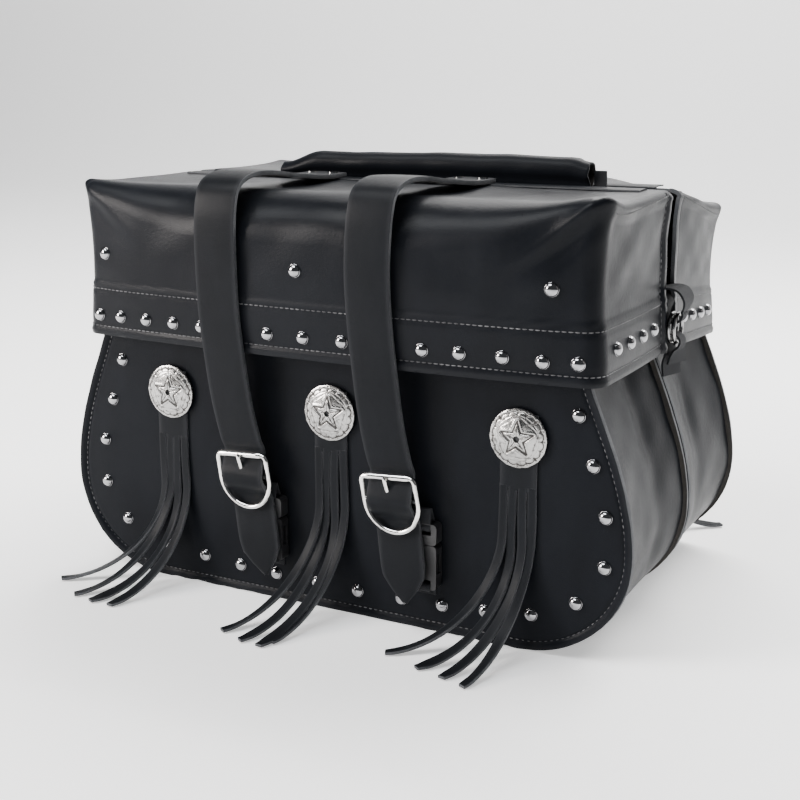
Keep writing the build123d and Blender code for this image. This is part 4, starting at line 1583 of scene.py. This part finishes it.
@dataclass
class Concho:
    """A cast round ornament: a five-point star, a wedge-cut border and a hole in its middle."""

    radius: float = 20.0
    hole: float = 2.2
    rise: float = 4.6
    rim: float = 1.3
    wedges: int = 16
    star_out: float = 12.2
    star_in: float = 5.2
    scroll_r: float = 13.4
    bead_r: float = 15.2
    lobe_r: float = 17.0
    lobe_rise: float = 1.3
    depth: float = 0.45
    rings: int = 58
    spokes: int = 180

    def star_line(self) -> Array:
        """The star's closed outline."""
        points = []
        for i in range(11):
            r = self.star_out if i % 2 == 0 else self.star_in
            a = math.pi / 2 + i * math.pi / 5
            points.append((r * math.cos(a), r * math.sin(a)))
        return np.array(points)

    def relief(self, r: Array, a: Array) -> tuple[Array, Array]:
        """Height of the face and depth of its engraving, by radius and angle."""
        flat = np.stack([r * np.cos(a), r * np.sin(a)], axis=-1)
        line = self.star_line()
        away = distance_to(flat, line)
        groove = np.exp(-((away / 0.42) ** 2))
        ribs = np.zeros_like(r)
        for tip in line[0:10:2]:
            rib = np.exp(-((distance_to(flat, np.array([[0.0, 0.0], tip])) / 0.34) ** 2))
            ribs = np.maximum(ribs, 0.6 * rib * (r < self.star_out))
        wave = np.abs(np.sin(a * self.wedges / 2))
        scroll = 0.4 * np.exp(-(((r - self.scroll_r - 0.9 * np.sin(5 * a)) / 0.36) ** 2))
        scallop = 0.9 * np.exp(-(((r - self.lobe_r - self.lobe_rise * wave) / 0.45) ** 2))
        cut = 0.7 * (wave < 0.16) * smooth(15.4, 16.2, r) * (1 - smooth(18.8, 19.4, r))
        bead = 0.35 * np.exp(-(((r - self.bead_r) / 0.34) ** 2))
        engraved = np.clip(groove + ribs + scroll * (r > self.star_in) + scallop + cut + bead, 0, 1)
        dome = self.rim + (self.rise - self.rim) * (1 - (r / self.radius) ** 2)
        star = 0.35 * (away < 2.0) * smooth(0.0, 1.2, away)
        return dome + star - self.depth * engraved, engraved

    def add(self, shell: Shell, centre: Array) -> None:
        """Add one ornament that faces -Y."""
        between = np.linspace(self.hole + 0.4, self.radius - 0.3, self.rings)
        radii = np.concatenate([[self.hole], between, [self.radius]])
        angles = np.linspace(0, 2 * math.pi, self.spokes, endpoint=False)
        r, a = np.meshgrid(radii, angles, indexing="ij")
        height, engraved = self.relief(r, a)
        wave = np.abs(np.sin(a * self.wedges / 2))
        facet = 1 - 0.012 * wave * smooth(self.lobe_r, self.radius, r)
        x, z = centre[0] + r * facet * np.cos(a), centre[2] + r * facet * np.sin(a)
        face = np.stack([x, centre[1] - height, z], axis=-1)
        inner, outer = face[:1].copy(), face[-1:].copy()
        inner[..., 1] = outer[..., 1] = centre[1]
        rows = np.concatenate([inner, face, outer])
        paint = np.concatenate([np.ones((1, self.spokes)), engraved, np.full((1, self.spokes), 0.3)])
        rings = hoops(len(rows), self.spokes, closed=True)
        faces = [corners[:1] + corners[:0:-1] for corners in rings]
        shell.add(rows, faces, engraved=paint)


FRINGES = (
    ("fringe_left", (55.0, 33.0, 24.0, 16.0), (82.0, 80.0, 78.0, 74.0), 0.4, 112.0),
    ("fringe_middle", (29.0, 18.0, 11.0, 14.0), (80.0, 82.0, 81.0, 73.0), 1.3, 119.0),
    ("fringe_right", (52.0, 34.0, 22.0, 13.0), (80.0, 73.0, 71.0, 73.0), 2.4, 112.0),
)
SOCKET_TAPE = (
    (-130.9, 27.0), (-130.9, 33.0), (-133.0, 33.3), (-140.0, 33.0), (-141.6, 34.6), (-141.2, 37.6),
    (-137.0, 38.4), (-132.0, 37.8), (-131.2, 36.0),
)
PLUG_TAPE = (
    (-139.6, 92.0), (-140.2, 82.0), (-141.4, 79.0), (-139.5, 76.0), (-136.0, 75.2), (-132.6, 76.4),
    (-132.0, 79.0), (-135.0, 84.0), (-138.2, 92.0),
)
LID_FOLD = ((-7.2, 278), (-7.2, 291), (-8.4, 297.6), (-13.0, 300.5), (-28.0, 300.3))


@dataclass
class Bag:
    """One whole bag."""

    side: Side
    seed: float
    droop: float = 0.0
    right_ear: float = 8.0
    concho_x: tuple[float, float, float] = (-132.0, 5.0, 147.0)
    concho_y: float = -132.8
    concho_z: float = 148.0
    fold_half: float = 188.0
    release_shift: float = 13.0

    def build(self, wardrobe: Wardrobe) -> None:
        """Make every piece of this bag."""
        front = Panel(self.side, "front_hide", "panel", -130.0, 1.0, 235.0, seed=self.seed)
        front.build(wardrobe)
        front.sew(wardrobe)
        back = Panel(
            self.side, "back_hide", "back_panel", -2.0, -1.0, 295.0, seam=6.0, flare=1.2, seed=self.seed
        )
        back.build(wardrobe)
        Gusset(self.side, self.seed).build(wardrobe)
        lid = LidHide(self.side, self.seed, right_ear=self.right_ear, droop_left=self.droop)
        lid.build(wardrobe)
        studs = Studs(self.side)
        studs.on_lid(lid, wardrobe)
        studs.on_panel(front, wardrobe)
        for hand in Hand:
            Strap(self.side, hand).build(wardrobe)
            Buckle(self.side, hand).build(wardrobe)
        for x, (name, headings, reach, seed, slit_z) in zip(self.concho_x, FRINGES):
            Fringe(self.side, name, x, headings, reach, seed, slit_z).build(wardrobe)
        shell = Shell()
        for x in self.concho_x:
            Concho().add(shell, np.array([x, self.concho_y, self.concho_z]))
        shell.piece(
            self.side.name("star_conchos"), ROOT, [wardrobe.silver], "antique_silver",
            [self.side.name("conchos")], self.side.turn,
        )
        self.fold(wardrobe)
        self.tethers(wardrobe)
        self.hardware(wardrobe)

    def fold(self, wardrobe: Wardrobe) -> None:
        """The hide's fold from the back panel over to the lid's top."""
        p = ribbon(np.linspace(-self.fold_half, self.fold_half, 90), through(LID_FOLD, 36))
        if grid_normals(p)[-3, 10, 2] < 0:
            p = p[:, ::-1]
        shell = Shell()
        shell.thick(p, 1.0)
        body = self.side.name("lid_body")
        made = shell.piece(
            self.side.name("lid_fold"), ROOT, wardrobe.coat(), "leather", turn=self.side.turn, ride=False
        )
        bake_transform(made)

    def tethers(self, wardrobe: Wardrobe) -> None:
        """Short webbing that sews each quick-release socket to the panel, and a loop in each plug."""
        shell = Shell()
        for hand in Hand:
            self.tape(shell, SOCKET_TAPE, hand, 12.6, 1.1)
        shell.piece(
            self.side.name("socket_tapes"), ROOT, [wardrobe.tape] * 3, "webbing", [self.side.name("tethers")],
            self.side.turn,
        )
        for hand in Hand:
            shell = Shell()
            self.tape(shell, PLUG_TAPE, hand, 12.4, 1.0)
            shell.piece(
                self.side.name(f"plug_tape_{hand.value}"), self.side.name(f"plug_{hand.value}_body"),
                [wardrobe.tape] * 3, "webbing", turn=self.side.turn,
            )

    def tape(
        self, shell: Shell, path: Sequence[tuple[float, float]], hand: Hand, half: float, thickness: float
    ) -> None:
        """Add a length of tape at one quick-release buckle.

        Args:
            shell: The mesh it goes into.
            path: Places in Y and Z that it passes through.
            hand: Which strap's buckle it holds.
            half: Half of its width.
            thickness: Its thickness.
        """
        x = hand.sign * STRAP_X + self.release_shift + np.linspace(-1, 1, 7) * half
        shell.thick(ribbon(x, through(path, 60)), thickness, both_faces=True)

    def hardware(self, wardrobe: Wardrobe) -> None:
        """Dress the pieces that CAD gives their shape."""
        for hand in Hand:
            dress(self.side.name(f"socket_{hand.value}"), wardrobe.plastic)
            dress(self.side.name(f"plug_{hand.value}"), wardrobe.plastic)
        dress(self.side.name("strap_rivets"), wardrobe.chrome)
        dress(self.side.name("concho_screws"), wardrobe.plastic)
        dress(self.side.name("base_board"), wardrobe.board)


@dataclass
class Yoke:
    """The throw-over yoke: hide folded between the bags, with a soft uneven roll at its fold."""

    left: float = -112.0
    right: float = 144.0
    low_z: float = 150.0
    thickness: float = 1.6
    stub_low: float = 282.0
    stub_high: float = 311.0

    def build(self, wardrobe: Wardrobe) -> None:
        """Make the yoke and its webbing stub."""
        section = through([
            (-1.0, self.low_z), (-1.0, 220), (-1.1, 288), (-2.6, 299), (-3.6, 304.5), (-6.8, 308.5),
            (-6.4, 315), (-1.4, 319.2), (3.8, 317.6), (6.8, 312), (5.4, 305.5), (2.8, 301), (1.1, 288),
            (1.0, 220),
            (1.0, self.low_z),
        ], 120)
        p = ribbon(np.linspace(self.left, self.right, 110), section)
        high = smooth(296.0, 318.0, p[..., 2])
        p[..., 2] -= high * 9.5 * (1 - smooth(self.left, self.left + 36.0, p[..., 0]))
        p[..., 2] -= high * 3.0 * smooth(self.right - 16.0, self.right, p[..., 0])
        p[..., 2] += high * (0.8 * np.sin(p[..., 0] / 41.0) + 0.3 * wobble(p, 54.0, 1.1))
        p[..., 1] += high * 0.8 * wobble(p, 72.0, 0.4)
        ends = np.minimum(p[..., 0] - self.left, self.right - p[..., 0]) < 3
        p[..., 0] += ends * 1.2 * wobble(p, 9.0, 0.8)
        # the hide's face has to look outwards
        if grid_normals(p)[30, 50, 1] > 0:
            p = p[:, ::-1]
        shell = Shell()
        rub = np.exp(-(((p[..., 2] - 317.0) / 3.0) ** 2)) * 0.5
        shell.thick(p, self.thickness, rub)
        shell.piece("yoke_hide", ROOT, wardrobe.coat(), "leather", ["yoke"], bevel=0.4)
        dress("yoke_rivets", wardrobe.chrome)
        self.stub(wardrobe)

    def stub(self, wardrobe: Wardrobe) -> None:
        """Make the webbing stub beside the yoke."""
        z = np.linspace(self.stub_low, self.stub_high, 24)
        x = np.linspace(self.right + 2, self.right + 11, 7)
        p = ribbon(x, np.stack([0.6 * np.sin((z - self.stub_low) / 9.0), z], axis=1))
        shell = Shell()
        shell.thick(p, 2.0, both_faces=True)
        shell.piece("yoke_tab_tape", ROOT, [wardrobe.tape] * 3, "webbing", ["yoke_tab"])


@dataclass
class SideTie:
    """Webbing and rings that draw the two bags together at one end."""

    hand: Hand
    out_x: float = 209.3
    loop_z: float = 214.0
    ring: float = 10.0
    tail_z: float = 170.0
    thickness: float = 1.5
    twist: float = 0.34

    def build(self, wardrobe: Wardrobe) -> None:
        """Make the fixed webbing, the tail and the rings' finish."""
        name = self.hand.value
        x, z = self.out_x, self.loop_z
        top = [
            (190.0, z + 15.0, 9.0), (203.0, z + 18.5, 11.5), (213.0, z + 17.5, 12.5), (217.8, z + 11.0, 12.0),
            (216.8, z + 4.5, 8.0),
        ]
        loop = self.circle(x, z, 6.2, 20.0, -200.0)
        back = [(204.6, z + 8.0, 8.0), (200.0, z + 12.0, 9.0), (190.0, z + 12.6, 9.0)]
        self.strip(f"{name}_tie_tape", ROOT, top + loop + back, [f"{name}_tie"], wardrobe)
        low = z - 2 * self.ring
        loop = self.circle(x, low, 5.8, -40.0, 220.0)
        down = [(207.8, low - 8.0, 9.0), (207.6, low - 16.0, 10.0), (208.6, self.tail_z, 10.0)]
        up = [(211.4, self.tail_z + 9.0, 10.0), (212.0, low - 9.0, 9.6), (212.6, low - 5.5, 8.4)]
        path = down[::-1] + loop[::-1] + up[::-1]
        body = f"{name}_rings_body"
        self.strip(f"{name}_tail_tape", body, path, [f"{name}_tie_tail"], wardrobe, self.twist)
        dress(f"{name}_rings", wardrobe.dark_chrome)

    @staticmethod
    def circle(x: float, z: float, r: float, start: float, end: float) -> list[tuple[float, float, float]]:
        """Points round a ring's wire between two angles, as X, Z and half-width."""
        angles = np.radians(np.linspace(start, end, 12))
        return [(x + r * math.cos(a), z + r * math.sin(a), 6.0) for a in angles]

    def strip(
        self, name: str, body: str, path: Sequence[tuple[float, float, float]], replaced: Sequence[str],
        wardrobe: Wardrobe, twist: float = 0.0,
    ) -> None:
        """Make a length of webbing.

        Args:
            name: The piece's name.
            body: CAD body that it rides on.
            path: Places in X and Z that it passes through, with half of its width.
            replaced: CAD nodes that it stands for.
            wardrobe: The finishes.
            twist: How far its low end is turned out of line.
        """
        line = through(path, 110)
        p = np.zeros((len(line), 9, 3))
        p[..., 0], p[..., 2] = line[:, :1], line[:, 1:2]
        p[..., 1] = np.linspace(-1, 1, 9)[None, :] * line[:, 2:3]
        low = 1 - smooth(self.tail_z + 8.0, self.loop_z - 14.0, p[..., 2])
        p[..., 0] += twist * p[..., 1] * low
        shell = Shell()
        shell.thick(p, self.thickness, both_faces=True)
        shell.piece(name, body, [wardrobe.tape] * 3, "webbing", replaced, self.hand.sign)


# ---- studio ---------------------------------------------------------------------------------
WARM_WHITE = (1.0, 0.985, 0.97)
WARM = (1.0, 0.92, 0.88)
AMBER = (1.0, 0.94, 0.90)
COOL_WHITE = (0.96, 0.98, 1.0)


@dataclass
class Lamp:
    """A square softbox."""

    name: str
    place: tuple[float, float, float]
    target: tuple[float, float, float]
    width: float
    height: float
    watts: float
    color: tuple[float, float, float] = (1.0, 1.0, 1.0)

    def build(self) -> None:
        """Hang the lamp."""
        light = bpy.data.lights.new(self.name, "AREA")
        light.shape = "RECTANGLE"
        light.size, light.size_y = self.width, self.height
        light.energy = self.watts
        light.color = self.color
        obj = bpy.data.objects.new(self.name, light)
        obj.location = self.place
        away = Vector(self.target) - Vector(self.place)
        obj.rotation_euler = away.to_track_quat("-Z", "Y").to_euler()
        bpy.context.scene.collection.objects.link(obj)


@dataclass
class Studio:
    """Pale seamless floor, soft lamps and the camera."""

    eye: tuple[float, float, float] = (0.4560, -0.8910, 0.3760)
    yaw: float = 27.57
    pitch: float = 13.96
    lens_mm: float = 58.7
    sensor_mm: float = 36.0
    backdrop_y: float = 3.2
    backdrop_z: float = 4.5
    near_y: float = -4.0
    sweep: float = 0.8
    half_width: float = 5.0
    sunk: float = 0.0004
    room: tuple[float, float, float, float] = (0.9, 0.95, 1.0, 1.0)
    room_strength: float = 0.10

    def build(self, wardrobe: Wardrobe) -> None:
        """Set the stage."""
        self.floor(wardrobe)
        self.lamps()
        self.camera()

    def floor(self, wardrobe: Wardrobe) -> None:
        """Sweep the seamless floor up into a backdrop."""
        start = self.backdrop_y - self.sweep
        flat = [(self.near_y, 0.0), (-1.0, 0.0), (1.2, 0.0), (start, 0.0)]
        curve = [
            (start + self.sweep * math.sin(a), self.sweep - self.sweep * math.cos(a))
            for a in np.linspace(0, math.pi / 2, 14)[1:]
        ]
        profile = flat + curve + [(self.backdrop_y, self.backdrop_z)]
        x = np.linspace(-self.half_width, self.half_width, 5)
        verts = [(xx, y, z - self.sunk) for y, z in profile for xx in x]
        faces = [
            (a, a + 1, a + 1 + len(x), a + len(x))
            for i in range(len(profile) - 1)
            for a in range(i * len(x), (i + 1) * len(x) - 1)
        ]
        obj = new_object("seamless_floor", verts, faces)
        obj.data.materials.append(wardrobe.paper)

    def lamps(self) -> None:
        """Hang the softboxes and set the room's dim fill."""
        middle = (0.0, 0.0, 0.18)
        for lamp in (
            Lamp("top_softbox", (0.25, 0.9, 1.6), (0.05, 0.0, 0.28), 2.0, 1.1, 75.0, WARM_WHITE),
            Lamp("right_softbox", (1.9, 0.35, 0.9), middle, 1.0, 1.0, 2.0, WARM),
            Lamp("left_softbox", (-1.45, -1.35, 0.75), (-0.12, -0.12, 0.28), 0.7, 0.75, 62.0, AMBER),
            Lamp("high_softbox", (-0.5, -0.9, 1.7), (0.0, 0.0, 0.3), 1.2, 0.7, 36.0, COOL_WHITE),
            Lamp("backdrop_lamp", (0.0, 1.4, 2.8), (0.0, 3.2, 0.8), 3.4, 0.8, 110.0),
        ):
            lamp.build()
        world = bpy.data.worlds.new("room")
        world.use_nodes = True
        background = world.node_tree.nodes["Background"]
        background.inputs["Color"].default_value = self.room
        background.inputs["Strength"].default_value = self.room_strength
        bpy.context.scene.world = world

    def camera(self) -> None:
        """Stand the camera."""
        data = bpy.data.cameras.new("camera")
        data.lens = self.lens_mm
        data.sensor_width = self.sensor_mm
        data.clip_start = 0.01
        obj = bpy.data.objects.new("camera", data)
        turn = Matrix.Rotation(math.radians(self.yaw), 4, "Z")
        tilt = Matrix.Rotation(math.radians(90.0 - self.pitch), 4, "X")
        obj.matrix_world = Matrix.Translation(self.eye) @ turn @ tilt
        bpy.context.scene.collection.objects.link(obj)
        bpy.context.scene.camera = obj


def main() -> None:
    """Build every sub-assembly in order."""
    logging.basicConfig(level=logging.INFO, format="%(name)s %(message)s")
    wardrobe = Wardrobe()
    Bag(Side.FRONT, 0.3).build(wardrobe)
    Bag(Side.REAR, 1.9, droop=24.0, right_ear=2.5).build(wardrobe)
    Yoke().build(wardrobe)
    for hand in Hand:
        SideTie(hand).build(wardrobe)
    Studio().build(wardrobe)


if __name__ == "__main__":
    main()
